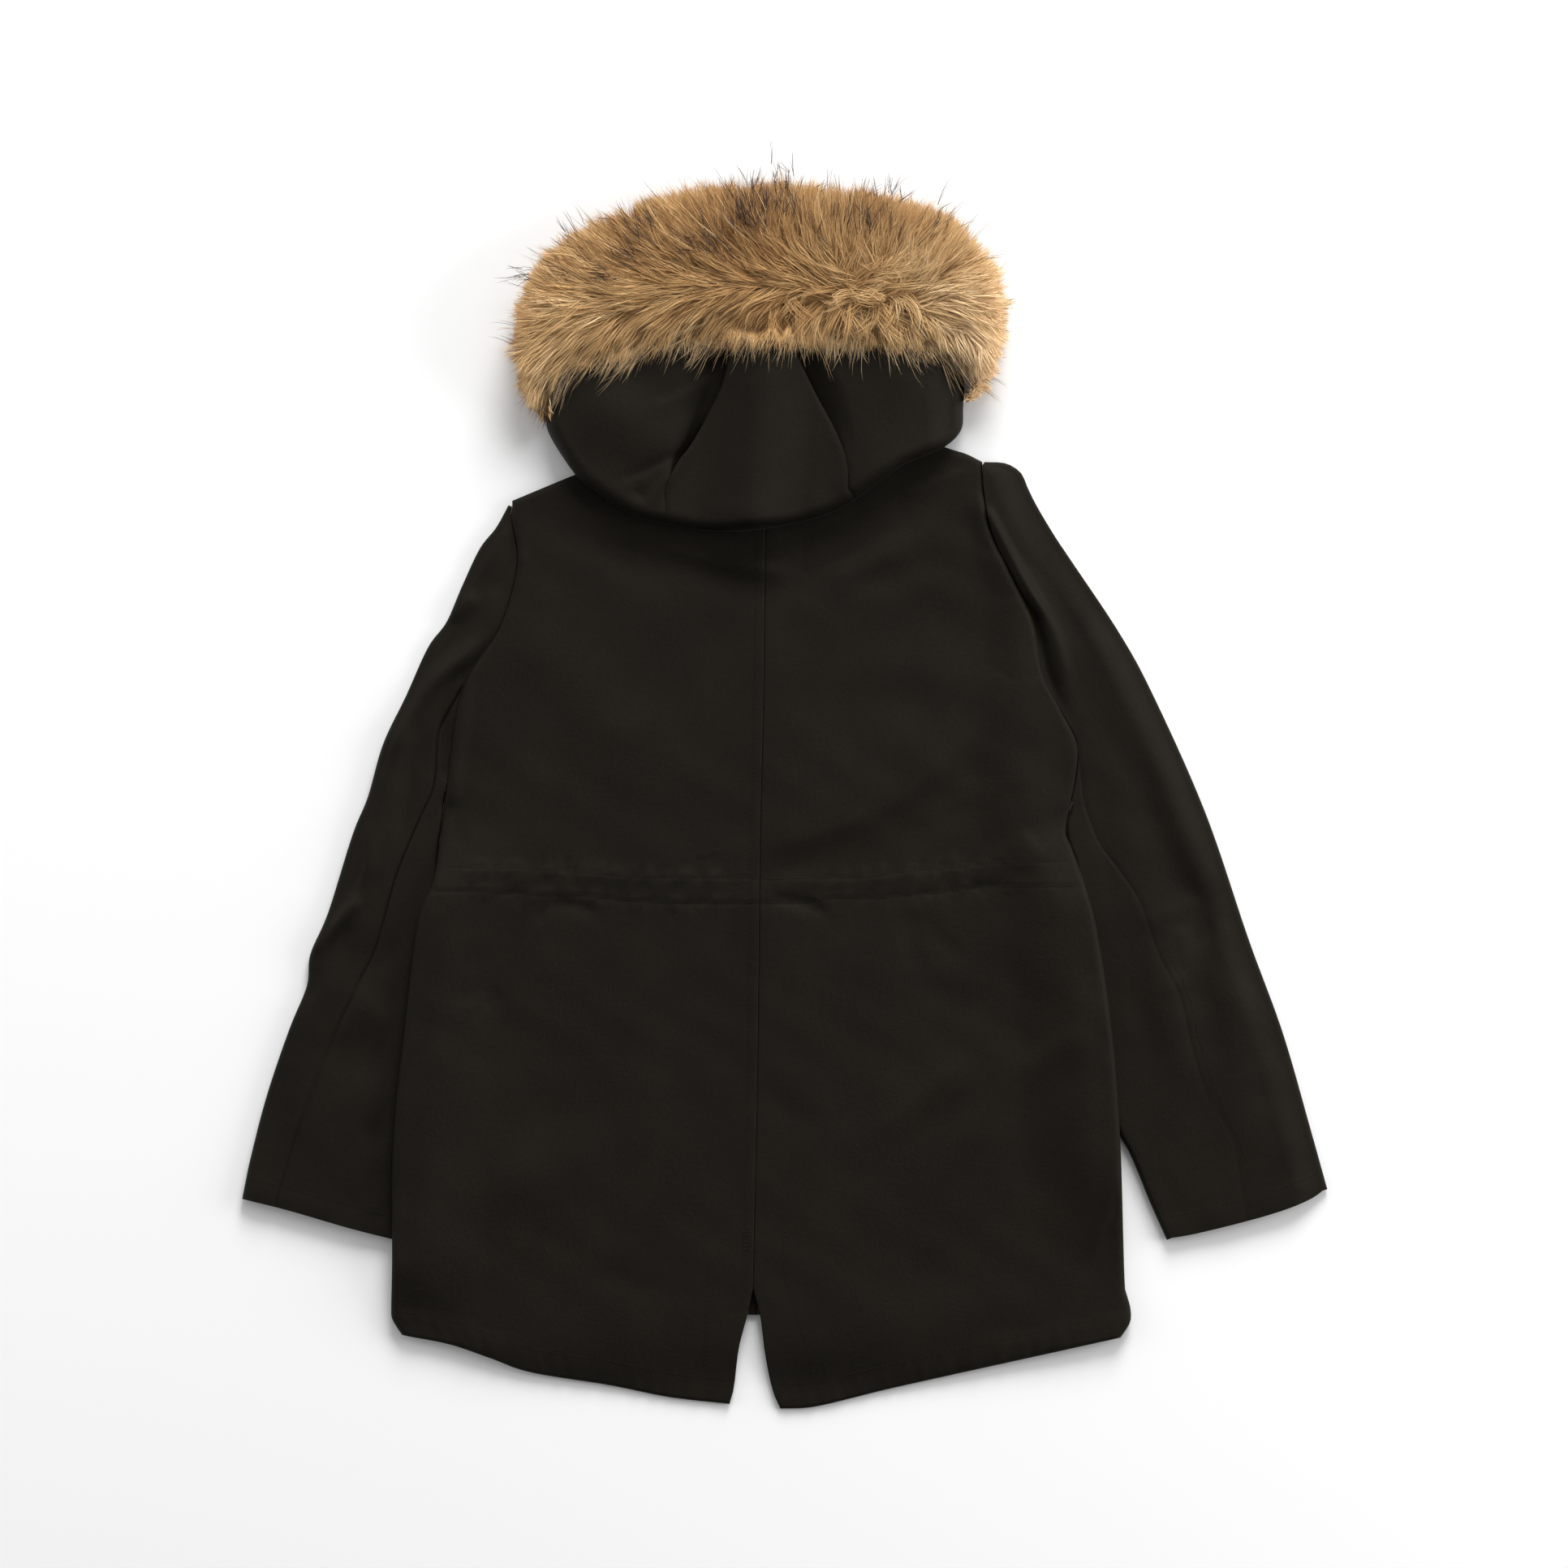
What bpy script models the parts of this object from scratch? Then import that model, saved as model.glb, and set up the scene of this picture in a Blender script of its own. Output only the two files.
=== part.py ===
"""Fur trimmed parka laid out face down, its back upwards, on a flat surface.

The coat lies as it would on a cutting table.  The two fronts and the zip are
against the surface, the two back panels lie on them, the sleeves lie flat at
the sides with their inner edges under the body, and the three-panel hood has
fallen on the back with its fur ruff spread out above the shoulders.

Tables are in millimetres from the middle of the coat: x to the right, y
towards the hood, z up from the surface.  Meshes are made in metres.
"""

import math
from collections import namedtuple

import bmesh
import bpy
import numpy as np

MM = 0.001

# ------------------------------------------------------------ driving sizes
WALL = 3.2            # outer cotton, thin wadding and lining together
SEAM = 0.3            # gap between two pieces that are sewn together
BODY_DEPTH = 10.0     # front and back lying on each other
SIDE_FOLD = 6.0       # plan depth of the rounded fold along side and shoulder
SLEEVE_DEPTH = 8.8    # both layers of a sleeve
SLEEVE_LIFT = 9.8     # how far the body rises where it lies on a sleeve
LIFT_FLAT = 21.0      # width of the strip that is raised all the way
LIFT_END = 55.0       # where the body is down on the surface again
ZIP_WIDTH = 8.0       # closed zip down the centre front
FRONT_HEM_Y = -445.0  # the front is shorter than the fishtail back
FRONT_NECK_DROP = 62.0
NECK_DROP_START = 0.45  # share of the front's width where the drop starts
CUFF_END_Y = {"left": -392.0, "right": -300.0}  # where the sleeve leaves it
CUFF_LIFT_RUN = 42.0  # length over which the raised side goes down there
UNDERARM_LIFT_Y = -45.0  # the raised side reaches its full height here
FISHTAIL_TOP_Y = -464.0  # the back starts to go down past the front's hem
FISHTAIL_RUN = 50.0
FISHTAIL_CLEAR = 0.5  # gap under the back where it is down
LOWEST_BACK_FOLD = -2.8
LOWEST_SLEEVE_FOLD = -1.6
SLEEVE_FULLNESS = 1.8    # a sleeve is thicker away from its inner edge
SLEEVE_FULL_START = 22.0
SLEEVE_FULL_RUN = 40.0
SLEEVE_FOLD_START = 18.0  # no folds nearer than this to the inner edge
SLEEVE_FOLD_RUN = 14.0
SLEEVE_UPPER_RUN = 30.0  # above the underarm they are whole over all the sleeve
HOOD_FOLD = 11.0      # plan depth of the rounded edge of the hood
HOOD_FLOOR = 13.5     # lowest level of the hood where it lies on the back
HOOD_HEIGHT = 17.0    # of its flat upper side above that level
HOOD_CLEAR = 0.4      # gap under the hood's edge
HOOD_DROP_START = 6.0    # beyond the shoulder line it goes down to the surface
HOOD_DROP_RUN = 34.0
LINING_INSET = 1.5    # the folded lining stays this far inside the hood's edge
LINING_DEPTH = 6.0    # and this far below its panels
MIDDLE_Y = -2.5       # middle of the whole outline, put at the origin

# ------------------------------------------------------------ outlines (x, y)
SIDE = {
    "left": [
        (-326, -462), (-334, -449), (-335, -438), (-334, -400), (-333, -298),
        (-324, -207), (-312, -112),
        (-299, -75), (-294, -44), (-289, -3), (-284, 39), (-279, 73),
        (-268, 103), (-245, 137), (-233, 170), (-228, 201), (-233, 232),
        (-232, 248),
    ],
    "right": [
        (286, -464), (294, -451), (294, -438), (290, -424), (289, -409),
        (285, -293), (278, -203),
        (266, -121), (256, -81), (244, -47), (239.5, -31), (248, 11),
        (249, 42), (235, 70), (220, 101), (211, 146), (190, 191),
        (176, 221), (170, 253), (168, 281),
    ],
}
UNDERARM_Y = {"left": 6.0, "right": -6.0}
CENTRE_BACK = [(-27, -422), (-23, -224), (-21, -51), (-18, 87), (-16, 284)]
VENT_EDGE = {
    "left": [(-47, -521), (-43, -506), (-39, -473), (-32, -446), (-27, -422)],
    "right": [(-4, -525), (-11, -508), (-17, -478), (-21, -446), (-27, -422)],
}
HEM = {
    "left": [
        (-326, -462), (-285, -470), (-250, -482), (-216, -494), (-149, -505),
        (-99, -515), (-47, -521),
    ],
    "right": [
        (-4, -525), (27, -523), (85, -509), (147, -495), (219, -479),
        (286, -464),
    ],
}
SHOULDER = {
    "left": [(-232, 248), (-179, 270), (-115, 295), (-81, 285), (-16, 284)],
    "right": [(-16, 284), (50, 293), (81, 314), (135, 294), (154, 288), (168, 281)],
}
SLEEVE_OUTER = {
    "left": [
        (-239, 237), (-247, 224), (-260, 207), (-275, 175), (-288, 145),
        (-304, 123), (-323, 81), (-342, 41), (-355, -4), (-368, -36),
        (-389, -103), (-404, -138), (-407, -165), (-422, -202),
        (-441, -258), (-455, -312), (-462, -346),
    ],
    "right": [
        (169.7, 281), (188, 280), (201, 272), (207, 259), (215, 243),
        (230, 218), (244, 197), (284, 137), (313, 84), (358, -17),
        (395, -125), (424, -204), (447, -283), (462, -336),
    ],
}
SLEEVE_INNER = {
    "left": [
        (-290, -4), (-291, -12), (-293, -28), (-295, -42), (-295, -60),
        (-295, -86), (-300, -120), (-308, -175), (-314, -224),
        (-318, -293), (-319, -384),
    ],
    "right": [
        (246, -8), (244, -17), (241, -27), (242, -42), (246, -60),
        (248, -86), (252, -120), (257, -168), (266, -224), (275, -265),
        (284, -290), (293, -306), (302, -327), (311, -349), (325, -380),
    ],
}
SLEEVE_SEAM = {
    "left": [
        (-291, 59), (-296, 42), (-299, 5), (-311, -23), (-331, -71),
        (-348, -132), (-364, -164), (-387, -215), (-415, -288), (-433, -348),
    ],
    "right": [
        (259, 16), (267, -16), (276, -51), (289, -86), (311, -125),
        (331, -169), (353, -233), (375, -288), (393, -357),
    ],
}
CUFF = {
    "left": [(-462, -346), (-422, -356), (-367, -372), (-319, -384)],
    "right": [(462, -336), (446, -347), (411, -360), (353, -375), (325, -380)],
}
# Where the seams of each sleeve meet the armhole, as steps up from the
# underarm, and how high the outer edge is across from there.
SEAM_STEP = {"left": 4, "right": 2}
OUTER_Y_AT_SEAM = {"left": 105, "right": 52}
FRONT_SEAM_AT_CUFF = 0.65  # share of the cuff's length
FRONT_SEAM_BOW = 20.0
UNDER_TIP = 0.25  # share of its first row at which the under sleeve's tip is cut

# The hood's outline from the fur, round the fold that lies on the back, to
# the fur again, and the two panel seams from that fold up to the fur.
HOOD_OUTLINE = [
    (-194, 341), (-198, 326), (-202, 308), (-179, 271), (-163, 257),
    (-133, 237), (-103, 228), (-54, 221), (-2, 226), (46, 240),
    (84, 266), (103, 279), (135, 293), (150, 308), (152, 328), (153, 343),
]
HOOD_SEAM = {
    "left": [
        (-101, 258), (-91, 280), (-81, 293), (-71, 310), (-64, 324),
        (-54, 344),
    ],
    "right": [(49, 262), (52, 282), (43, 307), (27, 337)],
}
HOOD_SEAM_CORNER = {"left": (-103, 228), "right": (46, 240)}
FUR_LINE = [
    (-176, 356), (-135, 363), (-81, 371), (-44, 373), (6, 373), (54, 373),
    (99, 371), (142, 358),
]

# ------------------------------------------------------------ folds
# A fold is a soft ridge (height > 0) or trough (height < 0) along a line.
Fold = namedtuple("Fold", "x0 y0 x1 y1 height width")
BACK_FOLDS = [
    (-232, 200, -276, 95, 3.5, 16),     # crisp edge of the left armhole
    (-276, 95, -286, 0, 3.0, 16),
    (172, 240, 210, 146, 6.0, 18),      # crisp edge of the right armhole
    (210, 146, 247, 40, 7.0, 22),
    (225, 40, 215, -30, 4.5, 30),       # gathered cloth below it
    (168, 52, 112, 11, -2.6, 30),       # soft trough towards the waist
    (112, 11, 24, -36, -2.8, 26),
    (24, -36, -20, -37, -2.0, 24),
    (120, 60, 30, 5, 2.5, 32),
    (-270, -66, -60, -75, 1.6, 12),     # drawn waist channel
    (0, -77, 205, -66, 1.6, 12),
    (-286, -3, -272, -48, -2.2, 10),
    (64, -300, 160, -224, 2.2, 26),     # long drags in the skirt
    (188, -245, 262, -198, 2.0, 22),
    (-250, -330, -140, -300, 1.8, 40),
    (-200, 120, -150, 60, 1.5, 40),
    (-26, -380, -26, 230, 1.0, 7),      # lapped centre back seam
]
SLEEVE_FOLDS = {
    "left": [
        (-257, 130, -300, 90, 5.0, 10),
        (-300, 90, -333, 28, 4.0, 10),
        (-272, 158, -284, 148, 3.5, 9),
        (-398, -132, -361, -88, 5.0, 12),
        (-404, -168, -372, -120, -1.6, 12),
        (-372, -200, -330, -150, 3.0, 16),
        (-348, -355, -338, -338, 2.5, 8),
        (-330, 40, -352, -60, 2.0, 22),
    ],
    "right": [
        (175, 233, 206, 193, 3.5, 9),
        (206, 193, 236, 132, 4.5, 10),
        (236, 132, 250, 84, 3.5, 10),
        (270, 120, 330, 0, 3.5, 24),
        (340, -150, 355, -120, -1.6, 16),
        (313, -110, 345, -96, 4.0, 12),
        (330, -165, 372, -120, 4.0, 14),
        (372, -215, 400, -300, 2.5, 24),
    ],
}
HOOD_FOLDS = [
    (-18, 345, -30, 262, 15.0, 44),     # full centre panel
    (-150, 322, -112, 300, 7.0, 34),
    (100, 338, 84, 300, 10.0, 40),
    (148, 345, 144, 312, 7.0, 22),
    (-62, 352, -96, 318, -7.0, 20),     # pockets beside the panel seams
    (24, 366, 44, 330, -7.0, 20),
    (-91, 280, -122, 240, 4.5, 9),
    (-91, 282, -128, 264, -3.5, 9),
]

# ------------------------------------------------------------ fur ruff
FurSection = namedtuple("FurSection", "outer_x outer_y inner_x inner_y height")
FUR_SECTIONS = [
    (-209, 320, -203, 318, 12),
    (-224, 342, -201, 332, 30),
    (-229, 400, -190, 354, 52),
    (-205, 458, -150, 363, 61),
    (-115, 506, -81, 375, 66),
    (-19, 520, -15, 375, 68),
    (78, 511, 54, 375, 67),
    (144, 488, 104, 373, 64),
    (183, 442, 140, 366, 58),
    (187, 391, 155, 358, 45),
    (176, 357, 156, 345, 26),
    (162, 336, 153, 331, 14),
]
FUR_STATIONS = 40
FUR_TUFT = 2.5        # how far every other lock stands out
FUR_WAIST = 0.22      # share of the height at which it is widest
FUR_ROUNDNESS = 0.75
FUR_SOLE = 0.86       # share of the width that rests on the surface
FULL_FUR = 50.0       # locks are smaller where the ruff is lower than this
TUFT_RISE = 0.6

COLOURS = {
    "cotton": (0.0130, 0.0112, 0.0085, 1.0),
    "zip": (0.02, 0.018, 0.015, 1.0),
    "fur": (0.46, 0.27, 0.11, 1.0),
}

ARMHOLE_STEPS = 12
FOLD_ANGLES = (90.0, 62.0, 32.0, 0.0)


# ------------------------------------------------------------ curves
def spline(points, per_span=12):
    """Dense points of a Catmull-Rom curve through the given rows."""
    p = np.asarray(points, float)
    p = np.vstack([2 * p[0] - p[1], p, 2 * p[-1] - p[-2]])
    t = np.linspace(0, 1, per_span, endpoint=False)[:, None]
    rows = []
    for a, b, c, d in zip(p, p[1:], p[2:], p[3:]):
        rows.append(
            0.5 * (
                2 * b
                + (c - a) * t
                + (2 * a - 5 * b + 4 * c - d) * t**2
                + (3 * b - a - 3 * c + d) * t**3
            )
        )
    return np.vstack(rows + [p[-2:-1]])


def walk(dense):
    """Share of the plan length at each point of a dense curve."""
    steps = np.hypot(*np.diff(dense[:, :2], axis=0).T)
    total = np.concatenate([[0.0], np.cumsum(steps)])
    return total / total[-1]


def at_share(dense, shares):
    """Points at the given shares of a curve's length."""
    s = walk(dense)
    return np.stack([np.interp(shares, s, c) for c in dense.T], axis=-1)


def x_at(dense, y):
    """x of a curve that rises in y."""
    order = np.argsort(dense[:, 1])
    return np.interp(y, dense[order, 1], dense[order, 0])


def y_at(dense, x):
    """y of a curve that runs along x."""
    order = np.argsort(dense[:, 0])
    return np.interp(x, dense[order, 0], dense[order, 1])


def normals(curve, side):
    """Unit plan normals of a polyline; side is +1 or -1."""
    along = np.gradient(curve, axis=0)
    along /= np.linalg.norm(along, axis=1)[:, None]
    return side * np.stack([along[:, 1], -along[:, 0]], axis=-1)


def coons(first, last, left, right):
    """Plan grid between four boundary polylines that share their corners.

    first and last run across (u), left and right run down (v).
    """
    u = np.linspace(0, 1, len(first))[None, :, None]
    v = np.linspace(0, 1, len(left))[:, None, None]
    across = (1 - v) * first[None] + v * last[None]
    down = (1 - u) * left[:, None] + u * right[:, None]
    corners = (
        (1 - u) * (1 - v) * first[0]
        + u * (1 - v) * first[-1]
        + (1 - u) * v * last[0]
        + u * v * last[-1]
    )
    return across + down - corners


def ease(t):
    """Smooth step from 0 to 1."""
    t = np.clip(t, 0.0, 1.0)
    return t * t * (3 - 2 * t)


def fold_height(folds, x, y):
    """Sum of the soft ridges and troughs at plan points."""
    total = np.zeros(np.broadcast(x, y).shape)
    for fold in map(Fold._make, folds):
        dx, dy = fold.x1 - fold.x0, fold.y1 - fold.y0
        t = ((x - fold.x0) * dx + (y - fold.y0) * dy) / (dx * dx + dy * dy)
        t = np.clip(t, 0, 1)
        gap = np.hypot(x - fold.x0 - t * dx, y - fold.y0 - t * dy)
        total += fold.height * (1 - ease(gap / fold.width))
    return total


# ------------------------------------------------------------ meshes
def material(name, colour, roughness):
    """A plain Principled material."""
    made = bpy.data.materials.new(name)
    made.use_nodes = True
    shader = made.node_tree.nodes["Principled BSDF"]
    shader.inputs["Base Color"].default_value = colour
    shader.inputs["Roughness"].default_value = roughness
    shader.inputs["Metallic"].default_value = 0.0
    made.diffuse_color = colour
    return made


def make_object(name, mesh_builder, finish, collection):
    """Turn a bmesh into a named object with one material."""
    bmesh.ops.recalc_face_normals(mesh_builder, faces=mesh_builder.faces)
    mesh = bpy.data.meshes.new(name)
    mesh_builder.to_mesh(mesh)
    mesh_builder.free()
    mesh.materials.append(finish)
    mesh.shade_smooth()
    made = bpy.data.objects.new(name, mesh)
    collection.objects.link(made)
    return made


def add_grid(build, grid):
    """Vertices of a grid of millimetre points, as a nested list."""
    shifted = (grid - np.array([0.0, MIDDLE_Y, 0.0])) * MM
    return [[build.verts.new(p) for p in row] for row in shifted]


def loft_wall(name, outer, inner, finish, collection, cells=None):
    """A closed cloth wall between an outer and an inner skin.

    cells says which cells of the grid are cloth; all are if it is None.
    """
    build = bmesh.new()
    skins = [add_grid(build, outer), add_grid(build, inner)]
    rows, cols = outer.shape[:2]
    borders = {}
    for j in range(rows - 1):
        for i in range(cols - 1):
            if cells is not None and not cells[j, i]:
                continue
            ring = [(j, i), (j, i + 1), (j + 1, i + 1), (j + 1, i)]
            for skin in skins:
                build.faces.new([skin[a][b] for a, b in ring])
            for edge in zip(ring, ring[1:] + ring[:1]):
                borders[edge] = True
    for (j0, i0), (j1, i1) in borders:
        if ((j1, i1), (j0, i0)) not in borders:
            build.faces.new(
                (skins[0][j0][i0], skins[0][j1][i1], skins[1][j1][i1], skins[1][j0][i0])
            )
    loose = [v for v in build.verts if not v.link_faces]
    bmesh.ops.delete(build, geom=loose, context="VERTS")
    return make_object(name, build, finish, collection)


def loft_rings(name, rings, finish, collection):
    """A closed solid through rings, with flat ends."""
    build = bmesh.new()
    loops = add_grid(build, rings)
    count = rings.shape[1]
    for a, b in zip(loops, loops[1:]):
        for i in range(count):
            k = (i + 1) % count
            build.faces.new((a[i], a[k], b[k], b[i]))
    build.faces.new(loops[0][::-1])
    build.faces.new(loops[-1])
    return make_object(name, build, finish, collection)


# ------------------------------------------------------------ body
def centre_front_x(y):
    """x of the centre front, which lies under the centre back."""
    return x_at(spline(CENTRE_BACK), y)


class BodyHalf:
    """Plan and levels that a front and a back panel of one side share."""

    def __init__(self, side):
        self.side = side
        self.sign = -1.0 if side == "left" else 1.0
        self.edge = spline(SIDE[side])
        vent = spline(VENT_EDGE[side])
        self.centre = np.vstack([vent[:-1], spline(CENTRE_BACK)])
        self.hem = spline(HEM[side])
        self.top = spline(SHOULDER[side])
        self.underarm = UNDERARM_Y[side]
        above = self.edge[self.edge[:, 1] >= self.underarm]
        start = (x_at(self.edge, self.underarm), self.underarm)
        above = np.vstack([[start], above])
        self.armhole = at_share(above, np.linspace(0, 1, ARMHOLE_STEPS + 1))

    def side_levels(self):
        """(y at the side, y at the centre) of each level row above the hem."""
        rows = [(-434, -438), (-412, -422), (-388, -396)]
        rows += [(y, y) for y in (-362, -332, -300, -268, -236, -204, -172)]
        rows += [(y, y) for y in (-140, -110, -88, -66, -45, -20)]
        return rows + [(self.underarm, self.underarm)]

    def lift(self, x, y):
        """How far the body is raised by the sleeve under its side."""
        inward = (x_at(self.edge, y) - x) * self.sign
        strip = 1 - ease((inward - LIFT_FLAT) / (LIFT_END - LIFT_FLAT))
        lower = 1 - ease((CUFF_END_Y[self.side] - y) / CUFF_LIFT_RUN)
        upper = ease((self.underarm - y) / (self.underarm - UNDERARM_LIFT_Y))
        return SLEEVE_LIFT * strip * lower * upper

    def rows(self, front):
        """Corner points (side, centre) of the rows from hem to shoulder."""
        levels = [(x_at(self.edge, s), s, c) for s, c in self.side_levels()]
        top = self.neck_y(front)
        for x, y in self.armhole[1:]:
            share = (y - self.underarm) / (self.armhole[-1, 1] - self.underarm)
            levels.append((x, y, self.underarm + share * (top - self.underarm)))
        if front:
            hem_side = (x_at(self.edge, FRONT_HEM_Y), FRONT_HEM_Y)
            return [(*hem_side, FRONT_HEM_Y)] + levels
        return [(*self.hem_corner(), self.hem_centre()[1])] + levels

    def neck_y(self, front):
        """y of the neckline at the centre."""
        return CENTRE_BACK[-1][1] - (FRONT_NECK_DROP if front else 0.0)

    def hem_corner(self):
        """Where the hem meets the side."""
        return SIDE[self.side][0]

    def hem_centre(self):
        """Where the hem meets the vent."""
        return VENT_EDGE[self.side][0]

    def centre_x(self, y, front):
        """x of the panel's edge at the centre."""
        if front:
            return centre_front_x(y) + self.sign * (ZIP_WIDTH / 2 + SEAM)
        return x_at(self.centre, y) + self.sign * SEAM / 2

    def plan(self, front):
        """Plan grid up to the inset edge, and the vector to the side of
        each row."""
        near = [0.0, LIFT_FLAT - 1, (LIFT_FLAT + LIFT_END) / 2, LIFT_END]
        count = 5 if front else 8
        rows = self.rows(front)
        last = len(rows) - 1
        top_line = [rows[-1][1], rows[-1][2]]
        grid, to_side = [], []
        for j, (x_side, y_side, y_mid) in enumerate(rows):
            x_mid = self.centre_x(y_mid, front)
            length = abs(x_side - x_mid)
            inward = [SIDE_FOLD] + near[1:]
            inward += list(np.linspace(LIFT_END, length, count + 1)[1:])
            share = np.array(inward) / length
            x = x_side + (x_mid - x_side) * share
            y = y_side + (y_mid - y_side) * share
            if j == 0 and not front:
                y = y_at(self.hem, x)
            rise = max(0.0, (j - (last - 7)) / 7.0)
            if rise > 0:
                chord = top_line[0] + (top_line[1] - top_line[0]) * share
                y = y + rise**2 * (self.top_y(x, share, front) - chord)
            if j == last:
                y = y - SIDE_FOLD
                y_side = y_side - SIDE_FOLD
            grid.append(np.stack([x, y], axis=-1))
            to_side.append(np.array([x_side, y_side]) - grid[-1][0])
        return np.array(grid), np.array(to_side)

    def top_y(self, x, share, front):
        """y of the shoulder and neckline."""
        y = y_at(self.top, x)
        if front:
            start = NECK_DROP_START
            y = y - FRONT_NECK_DROP * ease((share - start) / (1 - start))
        return y


def folded_skins(half, front):
    """Outer and inner skin of a front or back panel.

    The panel turns through a quarter circle along its side and its shoulder,
    where it meets the other panel halfway up.
    """
    plan, to_side = half.plan(front)
    angles = (90.0, 45.0, 0.0) if front else FOLD_ANGLES
    turn = len(angles) - 1
    rows, cols = plan.shape[:2]
    i_of = [0] * turn + list(range(cols))
    j_of = list(range(rows)) + [rows - 1] * turn
    across = np.radians(list(angles[:0:-1]) + [90.0] * cols)
    along = np.radians([90.0] * rows + list(angles[1:]))
    base = plan[np.ix_(j_of, i_of)]
    sideways = to_side[j_of][:, None] / SIDE_FOLD * np.cos(across)[None, :, None]
    upward = np.array([0.0, 1.0]) * np.cos(along)[:, None, None]
    turned_side, turned_top = np.sin(across)[None, :], np.sin(along)[:, None]
    x, y = base[..., 0], base[..., 1]
    lift = half.lift(x, y)
    skin = base + SIDE_FOLD * (sideways + upward)
    lining = base + (SIDE_FOLD - WALL) * (sideways + upward)
    if front:
        # Along the armhole the front stays flat, as the sleeve goes on there.
        flat = (np.array(j_of) >= rows - 1 - ARMHOLE_STEPS)[:, None]
        lining = np.where(
            flat[..., None],
            base + SIDE_FOLD * sideways + (SIDE_FOLD - WALL) * upward, lining,
        )
        turned = np.where(flat, 1.0, turned_side) * turned_top
        rise = BODY_DEPTH / 2 - SEAM / 2
        outer = np.dstack([skin, lift + rise * (1 - turned)])
        inner = np.dstack([lining, lift + WALL + (rise - WALL) * (1 - turned)])
        return outer, inner
    turned = turned_side * turned_top
    beyond = ease((FISHTAIL_TOP_Y - y) / FISHTAIL_RUN)
    folds = np.maximum(fold_height(BACK_FOLDS, x, y), LOWEST_BACK_FOLD)
    top = (BODY_DEPTH + folds) * (1 - beyond) + (WALL + FISHTAIL_CLEAR) * beyond
    rim = (BODY_DEPTH / 2 + SEAM / 2) * (1 - beyond)
    outer = np.dstack([skin, lift + rim + (top - rim) * turned])
    inner = np.dstack([lining, lift + rim + (top - WALL - rim) * turned])
    return outer, inner


def make_body(finishes, collection):
    """Both fronts, both backs and the zip between the fronts."""
    for side in ("left", "right"):
        half = BodyHalf(side)
        for front, name in ((False, "back_"), (True, "front_")):
            outer, inner = folded_skins(half, front)
            loft_wall(name + side, outer, inner, finishes["cotton"], collection)
    y = np.linspace(FRONT_HEM_Y, CENTRE_BACK[-1][1] - FRONT_NECK_DROP, 16)
    x = centre_front_x(y)
    level = np.zeros_like(y)
    edges = [x - ZIP_WIDTH / 2, x + ZIP_WIDTH / 2]
    outer = np.stack([np.stack([e, y, level], -1) for e in edges], axis=1)
    inner = outer + np.array([0.0, 0.0, WALL])
    loft_wall("front_zip", outer, inner, finishes["zip"], collection)


# ------------------------------------------------------------ sleeves
SLEEVE_ROWS = 18      # along the seams, from the armhole to the cuff
TOP_COLS = 5
UNDER_COLS = 4
EDGE_ANGLES = (60.0, 25.0, -25.0, -60.0)


def sleeve_level(side, x, y, inner_edge):
    """Top level of a sleeve lying flat."""
    away = np.abs(x - x_at(inner_edge, y))
    full = SLEEVE_FULLNESS * ease((away - SLEEVE_FULL_START) / SLEEVE_FULL_RUN)
    folds = np.maximum(fold_height(SLEEVE_FOLDS[side], x, y), LOWEST_SLEEVE_FOLD)
    beside_body = ease((away - SLEEVE_FOLD_START) / SLEEVE_FOLD_RUN)
    above_body = ease((y - UNDERARM_Y[side]) / SLEEVE_UPPER_RUN)
    return SLEEVE_DEPTH + full + folds * np.maximum(beside_body, above_body)


def ribbon(start, stop, cols):
    """Plan grid with straight rows from each start point to its stop."""
    share = np.linspace(0, 1, cols + 1)[None, :, None]
    return start[:, None] + (stop - start)[:, None] * share


def sleeve_skins(side, upper, lower, outward):
    """Skins of an upper sheet, a rounded edge and a lower sheet.

    upper and lower are plan grids whose last column is the inset edge.
    """
    inner_edge = spline(SLEEVE_INNER[side])
    radius = SLEEVE_DEPTH / 2
    top = sleeve_level(side, upper[..., 0], upper[..., 1], inner_edge)
    middle = top[:, -1] / 2
    outer = [np.column_stack([p, z]) for p, z in zip(upper.swapaxes(0, 1), top.T)]
    inner = [
        np.column_stack([p, z - WALL]) for p, z in zip(upper.swapaxes(0, 1), top.T)
    ]
    for angle in np.radians(EDGE_ANGLES):
        c, s = math.cos(angle), math.sin(angle)
        edge_out = upper[:, -1] + outward * radius * c
        edge_in = upper[:, -1] + outward * (radius - WALL) * c
        outer.append(np.column_stack([edge_out, middle * (1 + s)]))
        inner.append(np.column_stack([edge_in, middle + (middle - WALL) * s]))
    for plan in lower.swapaxes(0, 1)[::-1]:
        floor = np.zeros(len(plan))
        outer.append(np.column_stack([plan, floor]))
        inner.append(np.column_stack([plan, floor + WALL]))
    return np.stack(outer, axis=1), np.stack(inner, axis=1)


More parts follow.
